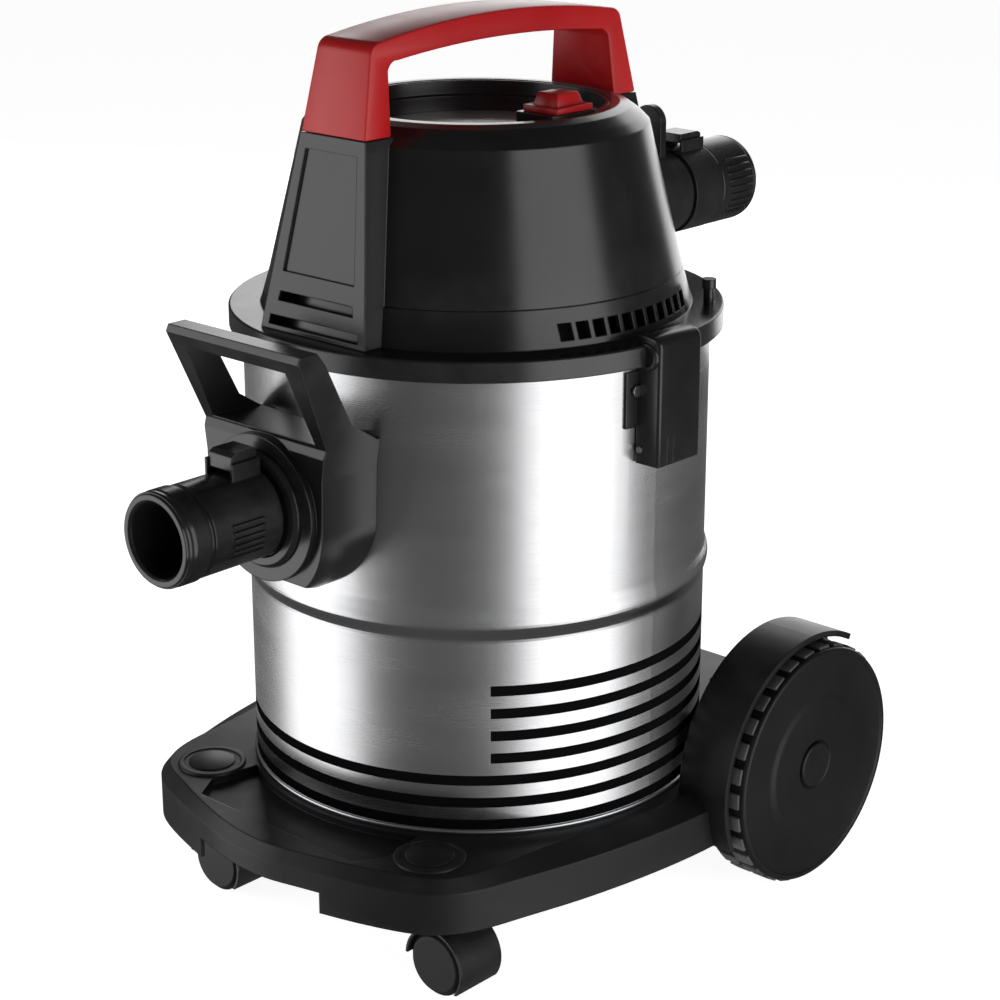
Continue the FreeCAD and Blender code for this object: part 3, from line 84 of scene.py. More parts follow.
# %% Holding one object
def hold(piece):
    """Selects this object alone and makes it active."""
    if bpy.context.mode != "OBJECT":
        bpy.ops.object.mode_set(mode="OBJECT")
    bpy.ops.object.select_all(action="DESELECT")
    piece.select_set(True)
    bpy.context.view_layer.objects.active = piece
    return piece


def into_edit(piece, kind="FACE"):
    """Opens one object for editing with nothing selected."""
    hold(piece)
    bpy.ops.object.mode_set(mode="EDIT")
    bpy.ops.mesh.select_mode(type=kind)
    bpy.ops.mesh.select_all(action="DESELECT")


def out_of_edit():
    bpy.ops.object.mode_set(mode="OBJECT")


# %% Picking faces by place or direction
def pick_faces(piece, wanted):
    """Leaves edit mode open with the faces selected for which wanted(centre, normal) holds."""
    into_edit(piece)
    out_of_edit()
    for face in piece.data.polygons:
        face.select = bool(wanted(face.center, face.normal))
    bpy.ops.object.mode_set(mode="EDIT")


def pick_edges(piece, wanted):
    """The same for edges, by wanted(one_end, other_end). Returns how many there are."""
    into_edit(piece, "EDGE")
    out_of_edit()
    count = 0
    points = piece.data.vertices
    for edge in piece.data.edges:
        edge.select = bool(wanted(points[edge.vertices[0]].co, points[edge.vertices[1]].co))
        count += edge.select
    bpy.ops.object.mode_set(mode="EDIT")
    return count


# %% [markdown]
# A finished piece stands at the origin with its place in its mesh, its doubles merged and
# its faces pointing outwards. Modifiers are applied, because a later step picks faces that
# only exist once the modifier has made them. Edges are rounded by the bevel modifier, which
# finds them by their angle, and then only the flats stay flat when the shading is smoothed.

# %% Finishing tools
MERGE_REACH = 1e-6
SMOOTH_BELOW = 32
ROUND_ABOVE = 30


def settle(piece):
    """Puts an object's place, turn and size into its mesh."""
    hold(piece)
    bpy.ops.object.transform_apply(location=True, rotation=True, scale=True)
    return piece


def tidy_mesh(piece, reach=MERGE_REACH):
    """Merges doubles and points every face outwards."""
    into_edit(piece, "VERT")
    bpy.ops.mesh.select_all(action="SELECT")
    bpy.ops.mesh.remove_doubles(threshold=reach)
    bpy.ops.mesh.delete_loose(use_verts=True, use_edges=True, use_faces=False)
    bpy.ops.mesh.select_all(action="SELECT")
    bpy.ops.mesh.normals_make_consistent(inside=False)
    out_of_edit()
    return piece


def apply_all(piece):
    hold(piece)
    for modifier in list(piece.modifiers):
        bpy.ops.object.modifier_apply(modifier=modifier.name)
    return piece


def smooth(piece, degrees=SMOOTH_BELOW):
    hold(piece)
    bpy.ops.object.shade_smooth_by_angle(angle=math.radians(degrees))
    return piece


def round_edges(piece, width, rounds=2, degrees=ROUND_ABOVE):
    """A bevel on every edge sharper than the angle, applied."""
    bevel = piece.modifiers.new("rounding", "BEVEL")
    bevel.width = width
    bevel.segments = rounds
    bevel.limit_method = "ANGLE"
    bevel.angle_limit = math.radians(degrees)
    bevel.use_clamp_overlap = False
    bevel.miter_outer = "MITER_ARC"
    return smooth(apply_all(piece))


def dress(piece, node, finish, stands_for=True):
    """Gives a finished piece its material, its body and the CAD node it stands for."""
    piece.data.materials.clear()
    piece.data.materials.append(finish)
    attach(piece, body_of[node])
    if stands_for:
        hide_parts(node)
    return piece


# %% [markdown]
# ## Turned shapes
# A lathe shape could be a cylinder whose rings are scaled one by one. Drawing half of its
# outline as a chain of vertices and spinning that once is closer to how a turner thinks,
# and each step of the outline stays a readable pair: radius, height. A rounded corner is
# simply a few more steps, which `arc` gives.


# %% A profile spun round Z, then stood in place
SPIN_STEPS = 96
SEAM_REACH = 1e-5
SEED_SIZE = 0.001


def arc(centre_r, centre_z, radius, start, end, steps=5):
    """Points along a quarter round or any other arc, in degrees."""
    turns = [math.radians(start + (end - start) * n / steps) for n in range(steps + 1)]
    return [(centre_r + radius * math.cos(t), centre_z + radius * math.sin(t)) for t in turns]


def turned(name, profile, steps=SPIN_STEPS):
    """A closed outline of (radius, height) points, spun round Z."""
    first = profile[0]
    bpy.ops.object.select_all(action="DESELECT")
    bpy.ops.mesh.primitive_plane_add(size=SEED_SIZE, location=(0, 0, 0))
    piece = bpy.context.active_object
    piece.name = name
    bpy.ops.object.mode_set(mode="EDIT")
    bpy.ops.mesh.select_mode(type="VERT")
    bpy.ops.mesh.select_all(action="SELECT")
    bpy.ops.mesh.merge(type="CENTER")
    bpy.ops.transform.translate(value=(first[0], 0, first[1]))
    here = first
    for point in profile[1:] + [first]:
        step = (point[0] - here[0], 0, point[1] - here[1])
        bpy.ops.mesh.extrude_vertices_move(TRANSFORM_OT_translate={"value": step})
        here = point
    bpy.ops.mesh.select_all(action="SELECT")
    bpy.ops.mesh.spin(steps=steps, angle=2 * math.pi, center=(0, 0, 0), axis=(0, 0, 1))
    out_of_edit()
    tidy_mesh(piece, SEAM_REACH)
    return smooth(piece)


def stand(piece, place, turn=(0, 0, 0)):
    """Turns a piece by degrees about X, Y, Z and puts it in place."""
    piece.rotation_euler = Euler([math.radians(t) for t in turn])
    piece.location = place
    return settle(piece)


FORWARD = (90, 0, 0)
BACKWARD = (-90, 0, 0)
RIGHTWARD = (0, 90, 0)
LEFTWARD = (0, -90, 0)


# %% [markdown]
# Many small things repeat round an axis: tread blocks, grip ribs, laces. Each could be an
# object of its own with an array modifier. One is modelled here, and the spin tool, set to
# duplicate, copies it round inside the same mesh, which keeps the list of pieces short.


# %% A box as a start, and copies round an axis
FULL_TURN = 360


def slab(name, low, high):
    """A block between two corners, to be shaped further."""
    low, high = Vector(low), Vector(high)
    bpy.ops.object.select_all(action="DESELECT")
    bpy.ops.mesh.primitive_cube_add(size=1, location=(low + high) / 2, scale=high - low)
    piece = bpy.context.active_object
    piece.name = name
    return settle(piece)


def copies_round(piece, count, sweep=FULL_TURN):
    """Fills an arc round Z with copies of a mesh, inside the same object."""
    into_edit(piece)
    bpy.ops.mesh.select_all(action="SELECT")
    full = sweep == FULL_TURN
    steps = count if full else count - 1
    angle = math.radians(sweep)
    bpy.ops.mesh.spin(steps=steps, dupli=True, angle=angle, center=(0, 0, 0), axis=(0, 0, 1))
    if full:
        bpy.ops.mesh.select_all(action="SELECT")
        bpy.ops.mesh.remove_doubles(threshold=MERGE_REACH)
    out_of_edit()
    return piece


def joined(name, *pieces):
    """Several meshes as one object."""
    hold(pieces[0])
    for piece in pieces[1:]:
        piece.select_set(True)
    bpy.ops.object.join()
    pieces[0].name = name
    return pieces[0]


# %% [markdown]
# ## Rounding a moulded part
# The mouldings already have the right form in the frame, but their edges are knife sharp,
# and no moulded edge is. Remodelling them would only copy what is there. For the few parts
# that a hand or a finger meets, a copy of the node is merged, its flat areas are made whole
# again, and a small bevel rounds every edge, so that each one catches a line of light.


# %% A rounded copy of a CAD node
NODE_REACH = 2e-6
FLAT_BELOW = 0.5


def rounded(node, width, finish):
    """Copies a node's mesh, makes its flats whole and bevels what is left."""
    mesh = frame["nodes"][node].data.copy()
    piece = bpy.data.objects.new(node + "_moulded", mesh)
    bpy.context.scene.collection.objects.link(piece)
    hold(piece)
    if mesh.has_custom_normals:
        bpy.ops.mesh.customdata_custom_splitnormals_clear()
    into_edit(piece, "VERT")
    bpy.ops.mesh.select_all(action="SELECT")
    bpy.ops.mesh.remove_doubles(threshold=NODE_REACH)
    bpy.ops.mesh.dissolve_limited(angle_limit=math.radians(FLAT_BELOW))
    out_of_edit()
    round_edges(piece, width)
    dress(piece, node, finish)
    print(piece.name, "faces", len(piece.data.polygons))


# %% [markdown]
# ## Finishes
# Every finish is built from noise in object coordinates, so it sits still on the part and
# nothing has to be unwrapped or painted. A moulded plastic is never one even grey: its
# gloss drifts slowly over the surface, a fine spark texture breaks up the reflection, and
# handled edges are painted pale, partly as worn plastic and partly as a painted highlight.
# A bevel node feeds the bump, so that the sharp edges of the big mouldings and plates
# catch the light as if they were rounded too.


# %% Wiring helpers
def fresh(name):
    """A new material and its shader."""
    paint = bpy.data.materials.new(name)
    paint.use_nodes = True
    tree = paint.node_tree
    return paint, tree, tree.nodes["Principled BSDF"]


def place_on(tree, stretch=(1, 1, 1)):
    """Object coordinates, stretched along each axis."""
    where = tree.nodes.new("ShaderNodeTexCoord")
    mapping = tree.nodes.new("ShaderNodeMapping")
    mapping.inputs["Scale"].default_value = stretch
    tree.links.new(where.outputs["Object"], mapping.inputs["Vector"])
    return mapping.outputs["Vector"]


def noise(tree, scale, detail, stretch=(1, 1, 1)):
    """Soft random patches, smaller as the scale grows."""
    made = tree.nodes.new("ShaderNodeTexNoise")
    made.inputs["Scale"].default_value = scale
    made.inputs["Detail"].default_value = detail
    tree.links.new(place_on(tree, stretch), made.inputs["Vector"])
    return made.outputs["Fac"]


def spread(tree, value, low, high, from_low=0.3, from_high=0.7):
    """Maps a value to a new range. Noise mostly stays between 0.3 and 0.7."""
    made = tree.nodes.new("ShaderNodeMapRange")
    tree.links.new(value, made.inputs["Value"])
    made.inputs["From Min"].default_value = from_low
    made.inputs["From Max"].default_value = from_high
    made.inputs["To Min"].default_value = low
    made.inputs["To Max"].default_value = high
    return made.outputs["Result"]


def sums(tree, operation, first, second):
    """One step of arithmetic on values or numbers."""
    made = tree.nodes.new("ShaderNodeMath")
    made.operation = operation
    for socket, value in zip(made.inputs, (first, second)):
        if isinstance(value, (int, float)):
            socket.default_value = value
        else:
            tree.links.new(value, socket)
    return made.outputs["Value"]


def blend_colours(tree, share, first, second):
    """The first colour where the share is 0, the second where it is 1."""
    made = tree.nodes.new("ShaderNodeMix")
    made.data_type = "RGBA"
    tree.links.new(share, made.inputs["Factor"])
    for socket, value in (("A", first), ("B", second)):
        target = [s for s in made.inputs if s.name == socket and s.type == "RGBA"][0]
        if isinstance(value, tuple):
            target.default_value = (*value, 1)
        else:
            tree.links.new(value, target)
    return [s for s in made.outputs if s.type == "RGBA"][0]


CORNER = 0.0006
CORNER_SAMPLES = 6


def bumped(tree, shader, height, strength, distance, corner=CORNER):
    """Grain on the surface, laid over edges that are softened by a small corner radius."""
    made = tree.nodes.new("ShaderNodeBump")
    soft = tree.nodes.new("ShaderNodeBevel")
    soft.samples = CORNER_SAMPLES
    soft.inputs["Radius"].default_value = corner
    tree.links.new(soft.outputs["Normal"], made.inputs["Normal"])
    made.inputs["Strength"].default_value = strength
    made.inputs["Distance"].default_value = distance
    tree.links.new(height, made.inputs["Height"])
    tree.links.new(made.outputs["Normal"], shader.inputs["Normal"])


# Pointiness range over which convex edges are painted pale: partly worn plastic, partly a painted
# highlight.
WORN_AND_HIGHLIGHT_FROM = 0.52
WORN_AND_HIGHLIGHT_FULL = 0.58


def worn_and_highlight_edges(tree):
    """1 on convex edges, 0 on flats. These edges are painted pale: partly worn, partly a painted
    highlight.
    """
    shape = tree.nodes.new("ShaderNodeNewGeometry")
    return spread(tree, shape.outputs["Pointiness"], 0.0, 1.0, WORN_AND_HIGHLIGHT_FROM, WORN_AND_HIGHLIGHT_FULL)


# %% [markdown]
# The same recipe serves every plastic and rubber on the object. Large clouds carry the slow
# drift of colour and gloss, smaller patches break up the pale edges, which are partly worn
# plastic and partly a painted highlight, and the grain is a very fine noise used as bump only.

# %% Moulded plastic
CLOUD_SCALE = 9
SCUFF_SCALE = 55
GRAIN_DEPTH = 0.0002
MOULDED_CORNER = 0.0012


def moulded_plastic(name, colour, pale, gloss, drift, grain, grain_scale=900, shine=0.5):
    """Colour, its paler tone for drift, worn edges and the painted edge highlight, roughness and
    how far it drifts, strength of the grain.
    """
    paint, tree, shader = fresh(name)
    clouds = noise(tree, CLOUD_SCALE, 4)
    scuffs = noise(tree, SCUFF_SCALE, 5)
    tone = blend_colours(tree, spread(tree, clouds, 0.0, 0.35), colour, pale)
    # Pale convex edges: partly worn plastic, partly a painted highlight.
    wear_and_highlight = sums(tree, "MULTIPLY", worn_and_highlight_edges(tree), spread(tree, scuffs, 0.1, 0.8))
    tree.links.new(blend_colours(tree, wear_and_highlight, tone, pale), shader.inputs["Base Color"])
    slow = spread(tree, clouds, gloss - drift, gloss + drift)
    patches = spread(tree, scuffs, -drift / 2, drift / 2)
    tree.links.new(sums(tree, "ADD", slow, patches), shader.inputs["Roughness"])
    shader.inputs["Specular IOR Level"].default_value = shine
    bumped(tree, shader, noise(tree, grain_scale, 2), grain, GRAIN_DEPTH, MOULDED_CORNER)
    return paint


JET = (0.0055, 0.0055, 0.006)
# The pale tone of black serves the drift, the worn edges and the painted edge highlight.
JET_WORN_AND_HIGHLIGHT = (0.02, 0.02, 0.021)

BLACK = moulded_plastic("black_plastic", JET, JET_WORN_AND_HIGHLIGHT, 0.24, 0.03, 0.06)
MATTE = moulded_plastic("matte_black_plastic", JET, JET_WORN_AND_HIGHLIGHT, 0.40, 0.05, 0.2, shine=0.3)
RED = moulded_plastic(
    "red_plastic", (0.37, 0.005, 0.008), (0.45, 0.015, 0.015), 0.33, 0.04, 0.06, shine=0.33,
)
WHITE = moulded_plastic(
    "white_plastic", (0.62, 0.62, 0.6), (0.75, 0.75, 0.73), 0.38, 0.06, 0.1,
)
RUBBER = moulded_plastic(
    "rubber", (0.014, 0.014, 0.014), (0.05, 0.05, 0.05), 0.75, 0.08, 0.4, 700,
)
TYRE = moulded_plastic(
    "caster_tyre", (0.006, 0.006, 0.0065), (0.025, 0.025, 0.025), 0.4, 0.06, 0.2, 600,
    shine=0.25,
)
CARBON = moulded_plastic(
    "carbon", (0.02, 0.02, 0.021), (0.07, 0.07, 0.072), 0.6, 0.1, 0.5, 1500,
)
TREAD = moulded_plastic(
    "tread_grey", (0.03, 0.0305, 0.032), (0.10, 0.10, 0.10), 0.5, 0.08, 0.35, 600,
)
print("plastics made")

# %% [markdown]
# The drum is rolled from brushed stainless sheet. The brushing runs round it, so a light
# smears up and down the wall but keeps its edges left and right, which is what gives the
# drum its tall soft bands. A radial tangent with strong anisotropy does that. The fine
# lines themselves are noise stretched flat. The stripes are printed on the steel, and the
# ink is less like metal than the steel around it.


# %% Brushed steel, with or without print
INK = (0.004, 0.004, 0.004)
DARK_LINE = 0.96
GLOSS_DRIFT = 0.02
LINE_GLOSS = 0.01
SMEAR = 0.8


def brushed_steel(name, tint, gloss, lines, brushed=True, printed=None):
    """Metal with fine flat lines. Printed is a function that marks where the ink is."""
    paint, tree, shader = fresh(name)
    brush = noise(tree, 1, 6, (6, 6, lines))
    broad = noise(tree, 7, 3, (1, 1, 5))
    dark = tuple(DARK_LINE * part for part in tint)
    tone = blend_colours(tree, spread(tree, brush, 0.0, 1.0), tint, dark)
    slow = spread(tree, broad, -GLOSS_DRIFT, GLOSS_DRIFT)
    fine = spread(tree, brush, gloss - LINE_GLOSS, gloss + LINE_GLOSS)
    rough = sums(tree, "ADD", fine, slow)
    shader.inputs["Metallic"].default_value = 1.0
    if printed:
        tone = blend_colours(tree, printed(tree), tone, INK)
        metal = sums(tree, "SUBTRACT", 1.0, printed(tree))
        shine = sums(tree, "MULTIPLY", metal, 0.5)
        tree.links.new(metal, shader.inputs["Metallic"])
        tree.links.new(shine, shader.inputs["Specular IOR Level"])
    tree.links.new(tone, shader.inputs["Base Color"])
    tree.links.new(rough, shader.inputs["Roughness"])
    if brushed:
        round_axis = tree.nodes.new("ShaderNodeTangent")
        round_axis.direction_type = "RADIAL"
        round_axis.axis = "Z"
        tree.links.new(round_axis.outputs["Tangent"], shader.inputs["Tangent"])
        shader.inputs["Anisotropic"].default_value = SMEAR
    bumped(tree, shader, brush, 0.008, 0.0001)
    return paint


# %% [markdown]
# Seven thin rings are printed round the drum. The three lowest go all the way round, and
# the four above them stop short of the front. They could be bands of their own, but ink has
# no thickness. A test on height and on the angle round the drum's axis paints them instead.

# %% Printed stripes
STRIPE_HALF = 0.0034
FULL_RINGS = (0.088, 0.103, 0.118)
PART_RINGS = (0.133, 0.148, 0.163, 0.178)
GAP_HALF = math.radians(46)


def stripes(tree):
    """1 inside a printed ring, 0 on bare steel. The upper rings leave a gap at the front."""
    where = tree.nodes.new("ShaderNodeTexCoord")
    parts = tree.nodes.new("ShaderNodeSeparateXYZ")
    tree.links.new(where.outputs["Object"], parts.inputs["Vector"])
    x, y, z = (parts.outputs[axis] for axis in "XYZ")
    ahead = sums(tree, "SUBTRACT", AXIS.y, y)
    turn = sums(tree, "ABSOLUTE", sums(tree, "ARCTAN2", x, ahead), 0.0)
    beside = sums(tree, "GREATER_THAN", turn, GAP_HALF)
    ink = 0.0
    for height in FULL_RINGS + PART_RINGS:
        offset = sums(tree, "ABSOLUTE", sums(tree, "SUBTRACT", z, height), 0.0)
        ring = sums(tree, "LESS_THAN", offset, STRIPE_HALF)
        if height in PART_RINGS:
            ring = sums(tree, "MULTIPLY", ring, beside)
        ink = sums(tree, "MAXIMUM", ring, ink)
    return ink


# %% The metals
STEEL = brushed_steel("drum_steel", (0.62, 0.62, 0.63), 0.26, 1400, printed=stripes)
ZINC = brushed_steel("zinc_steel", (0.55, 0.56, 0.58), 0.32, 500, brushed=False)
PRESSED = brushed_steel("zinc_frame", (0.48, 0.5, 0.52), 0.42, 300, brushed=False)
SILVER = brushed_steel("silver_plate", (0.78, 0.78, 0.78), 0.38, 260, brushed=False)
IRON = brushed_steel("iron", (0.16, 0.155, 0.15), 0.5, 1500, brushed=False)
COPPER = brushed_steel("copper", (0.72, 0.33, 0.17), 0.3, 800, brushed=False)
print("metals made")

# %% [markdown]
# Cloth and foam are light by what is between their threads. The cloth is a fine weave of
# two waves. Foam is a web of open cells: the nearest-cell distance makes pits, and the
# colour darkens into them.


# %% Cloth and foam
def woven(name, colour, shade, pitch):
    """Two crossed waves. The low places between the threads are in the shade."""
    paint, tree, shader = fresh(name)
    across = tree.nodes.new("ShaderNodeTexWave")
    along = tree.nodes.new("ShaderNodeTexWave")
    across.bands_direction, along.bands_direction = "Z", "DIAGONAL"
    for wave in (across, along):
        wave.inputs["Scale"].default_value = pitch
        wave.inputs["Distortion"].default_value = 1.5
        tree.links.new(place_on(tree), wave.inputs["Vector"])
    weave = sums(tree, "MULTIPLY", across.outputs["Fac"], along.outputs["Fac"])
    dust = noise(tree, 30, 5)
    tone = blend_colours(tree, spread(tree, dust, 0, 1), colour, shade)
    tree.links.new(blend_colours(tree, weave, shade, tone), shader.inputs["Base Color"])
    tree.links.new(spread(tree, dust, 0.8, 0.95), shader.inputs["Roughness"])
    bumped(tree, shader, weave, 0.4, 0.0003)
    return paint


def open_foam(name, colour, shade, cells):
    """A web of cells that darkens into its pits."""
    paint, tree, shader = fresh(name)
    pits = tree.nodes.new("ShaderNodeTexVoronoi")
    pits.inputs["Scale"].default_value = cells
    tree.links.new(place_on(tree), pits.inputs["Vector"])
    depth = spread(tree, pits.outputs["Distance"], 0.0, 1.0, 0.1, 0.6)
    tree.links.new(blend_colours(tree, depth, shade, colour), shader.inputs["Base Color"])
    tree.links.new(spread(tree, noise(tree, 40, 4), 0.85, 1.0), shader.inputs["Roughness"])
    bumped(tree, shader, depth, 0.8, 0.0008)
    return paint


CLOTH = woven("filter_cloth", (0.72, 0.70, 0.64), (0.42, 0.40, 0.36), 900)
FOAM = open_foam("foam", (0.085, 0.085, 0.09), (0.012, 0.012, 0.013), 420)

# %% [markdown]
# The frame's record names a material slot for each node. One table turns a slot's name into
# a finish, and every node takes its own. The hoods of the casters are glossier than the
# other mouldings of the dolly, so they take the plain black.

# %% Finishes put on
FINISHES = {
    "black_plastic": BLACK, "matte_black_plastic": MATTE, "red_plastic": RED,
    "white_plastic": WHITE, "rubber": RUBBER, "caster_tyre": TYRE, "carbon": CARBON,
    "drum_steel": STEEL, "zinc_steel": ZINC, "zinc_frame": PRESSED, "silver_plate": SILVER,
    "iron": IRON, "copper": COPPER, "filter_cloth": CLOTH, "foam": FOAM,
}
for name, cad in frame["nodes"].items():
    cad.data.materials.clear()
    cad.data.materials.append(FINISHES[slot_of[name]])
for name in ("caster_hood_left", "caster_hood_right"):
    frame["nodes"][name].data.materials[0] = BLACK
print("finishes put on", len(frame["nodes"]), "nodes")

# %% [markdown]
# ## Handle and switch
# The carry handle, the switch frame and the switch button are what a hand meets, and they
# are red, so that every edge shows. They keep the frame's form and get a real rounding,
# each as wide as its size allows.

# %% Rounded mouldings
EDGE_WIDTHS = {"carry_handle": 0.0016, "switch_frame": 0.0010, "switch_button": 0.0011}
for node, width in EDGE_WIDTHS.items():
    rounded(node, width, FINISHES[slot_of[node]])

# %% [markdown]
# ## Blower port: swivel collar
# The swivel collar is smooth where the thumb rests and ribbed on both flanks, where it is
# gripped. It is turned like the pipe it is, and the ribs are one block repeated by the
# spin tool. From here on outlines are written in millimetres, as on a drawing.

# %% Outlines in millimetres
MM = 0.001


def mm(*points):
    """Points of a drawing, radius and height, in metres."""
    return [(radius * MM, height * MM) for radius, height in points]


# %% The collar's body
collar_low, collar_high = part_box("outlet_collar")
collar_middle = (collar_low + collar_high) / 2
COLLAR_LONG = (collar_high.y - collar_low.y) / MM
collar = turned("collar_turned", mm(
    (26.2, 0), (29.0, 0), (29.7, 0.8), (29.7, COLLAR_LONG - 5), (29.2, COLLAR_LONG - 4.4),
    (29.7, COLLAR_LONG - 3.8), (29.4, COLLAR_LONG - 1.4), (28.2, COLLAR_LONG - 0.3),
    (26.5, COLLAR_LONG), (24.6, COLLAR_LONG - 0.2), (23.9, COLLAR_LONG - 1.2),
    (23.9, COLLAR_LONG - 3.6), (26.2, COLLAR_LONG - 3.6),
))

# %% Grip ribs on both flanks
RIBS_PER_FLANK = 9
RIB_SWEEP = 76
RIB_FOOT = 29.0 * MM
RIB_TOP = 30.9 * MM
RIB_HALF = 0.8 * MM
RIB_START = 7 * MM
RIB_END = (COLLAR_LONG - 7) * MM
flanks = []
for flank in (0, 180):
    rib = slab("grip_rib", (RIB_FOOT, -RIB_HALF, RIB_START), (RIB_TOP, RIB_HALF, RIB_END))
    round_edges(rib, 0.0006)
    stand(rib, (0, 0, 0), (0, 0, flank + RIB_SWEEP / 2))
    flanks.append(copies_round(rib, RIBS_PER_FLANK, RIB_SWEEP))
collar = joined("outlet_collar_turned", collar, *flanks)
stand(collar, (collar_middle.x, collar_low.y, collar_middle.z), BACKWARD)
smooth(collar)
dress(collar, "outlet_collar", BLACK)
print("collar", len(collar.data.polygons), "faces")

# %% [markdown]
# ## Latches
# Each latch is one pressed cap: a face plate, two cheeks and a top that bends over the
# rim. A block is rounded at the bends first, then its inner and lower faces are taken
# away and the sheet is given thickness, so the bends stay even inside and out. A round
# boss stiffens each cheek where the hook turns in, and two shallow creases rise from the
# foot of the plate.


# %% Sizes of a latch cap
SHEET = 0.002
TOP_BEND = 0.0065
SIDE_BEND = 0.0022
ON_PLANE = 1e-5
BOSS = mm((0, 0), (8.5, 0), (8.5, 1.2), (7.8, 2.0), (5.6, 2.2), (4.8, 1.4), (0, 1.4))
BOSS_IN = 0.0075
BOSS_DOWN = 0.0125
BOSS_SUNK = 0.0004
CREASE_HALF = (0.0003, 0.0006)
CREASE_TALL = 0.018
CREASE_BACK = 0.008
CREASE_APART = 0.003


# %% The pressed sheet
def bent_sheet(node, outward, low, high):
    """A block with three bends, opened at the back and below and given its thickness."""
    cap = slab(node + "_pressed", low, high)
    face_x = high.x if outward > 0 else low.x
    inner_x = low.x if outward > 0 else high.x

    def on_top_bend(end):
        return abs(end.x - face_x) < ON_PLANE and abs(end.z - high.z) < ON_PLANE

    def near_face(end):
        return abs(end.x - face_x) < TOP_BEND + 1e-4

    pick_edges(cap, lambda a, b: on_top_bend(a) and on_top_bend(b))
    bpy.ops.mesh.bevel(offset=TOP_BEND, segments=7, affect="EDGES")
    out_of_edit()
    pick_edges(cap, lambda a, b: near_face(a) and near_face(b) and abs(a.y - b.y) < ON_PLANE)
    bpy.ops.mesh.bevel(offset=SIDE_BEND, segments=4, affect="EDGES")
    out_of_edit()
    pick_faces(cap, lambda c, n: abs(c.x - inner_x) < 1e-4 or n.z < -0.9)
    bpy.ops.mesh.delete(type="FACE")
    out_of_edit()
    wall = cap.modifiers.new("sheet", "SOLIDIFY")
    wall.thickness = SHEET
    wall.offset = -1
    wall.use_even_offset = True
    apply_all(cap)
    return tidy_mesh(cap)


# %% Bosses, creases and the whole cap
def latch_cap(node, outward):
    """One latch's cap. Outward is 1 on the right of the vacuum and -1 on its left."""
    low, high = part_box(node)
    face_x = high.x if outward > 0 else low.x
    inner_x = low.x if outward > 0 else high.x
    parts = [bent_sheet(node, outward, low, high)]
    for side, wall_y, turn in ((-1, low.y, FORWARD), (1, high.y, BACKWARD)):
        boss = turned("boss", BOSS)
        boss_x = inner_x + outward * BOSS_IN
        stand(boss, (boss_x, wall_y - side * BOSS_SUNK, high.z - BOSS_DOWN), turn)
        parts.append(boss)
    half_x, half_y = CREASE_HALF
    for crease in (-1, 1):
        fold = slab("crease", (-half_x, -half_y, 0), (half_x, half_y, CREASE_TALL))
        pick_faces(fold, lambda c, n: n.z > 0.9)
        bpy.ops.transform.resize(value=(0.2, 0.2, 1))
        out_of_edit()
        round_edges(fold, 0.0002)
        fold_y = middle(node).y - CREASE_BACK + crease * CREASE_APART
        stand(fold, (face_x - outward * 0.0001, fold_y, low.z + 0.001))
        parts.append(fold)
    cap = joined(node + "_pressed", *parts)
    round_edges(cap, 0.0004, 2, 50)
    return dress(cap, node, BLACK)


for side, outward in (("right", 1), ("left", -1)):
    cap = latch_cap("latch_lever_" + side, outward)
    print(cap.name, len(cap.data.polygons), "faces")

# %% [markdown]
# ## Rear wheels
# A rear wheel is a hollow moulding with a dished face: a proud rim line, a shallow dish,
# a raised middle and a hub. The tread is two rows of low grey blocks, set half a pitch
# apart, one block modelled for each row and spun round.

# %% Sizes of a rear wheel
WHEEL_R = 82.0
BLOCKS = 30
BLOCK_HALF = 5.4 * MM
BLOCK_FOOT = (WHEEL_R - 3) * MM
BLOCK_TOP = (WHEEL_R - 0.25) * MM
TREAD_ROWS = ((4 * MM, 15.5 * MM), (17.5 * MM, 30.5 * MM))


# %% The dished wheel
def dished_wheel(node, wide):
    """The wheel's outline from the bore, along the hollow inner side and the rim, to the face."""
    return turned(node + "_dished", mm(
        (6.3, 4), (15, 4), (16, 5), (16.5, 22), (70, 22), (73, 19), (74, 1), (75, 0), (79, 0),
        (WHEEL_R - 1.8, 1.6), (WHEEL_R - 1.8, wide - 3), *arc(78.2, wide - 2, 2.0, 0, 90, 5),
        (76.6, wide - 0.1), (75.8, wide - 0.9), (72, wide - 1.6), (50, wide - 2.2),
        (47.5, wide - 2.0), (45.5, wide - 1.1), (43, wide - 0.8), (20, wide - 1.4),
        (17.4, wide - 1.2), (16.2, wide - 2.4), (15.2, wide - 2.9), (6.3, wide - 2.9),
    ), 128)


# %% Wheels and treads
def rear_wheel(side, turn):
    """One wheel and its tread, stood on the side of the deck it belongs to."""
    node = "rear_wheel_" + side
    low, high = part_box(node)
    wheel = dished_wheel(node, (high.x - low.x) / MM)
    place = (low.x if side == "right" else high.x, middle(node).y, middle(node).z)
    stand(wheel, place, turn)
    dress(wheel, node, MATTE)
    rows = []
    for row, (start, end) in enumerate(TREAD_ROWS):
        block = slab("block", (BLOCK_FOOT, -BLOCK_HALF, start), (BLOCK_TOP, BLOCK_HALF, end))
        round_edges(block, 0.0007)
        stand(block, (0, 0, 0), (0, 0, row * 180 / BLOCKS))
        rows.append(copies_round(block, BLOCKS))
    tread = joined("rear_tread_" + side, *rows)
    stand(tread, place, turn)
    dress(tread, node, TREAD, stands_for=False)
    print(wheel.name, len(wheel.data.polygons), tread.name, len(tread.data.polygons))


rear_wheel("right", RIGHTWARD)
rear_wheel("left", LEFTWARD)

# %% [markdown]
# ## Filter sleeve
# The filter is cloth folded in pleats round the float cage. Cloth could be draped over a
# cage by simulation, but pleats are stiff and regular. So it is drawn as an open tube whose
# every second edge is pulled inwards, then given the cloth's thickness.

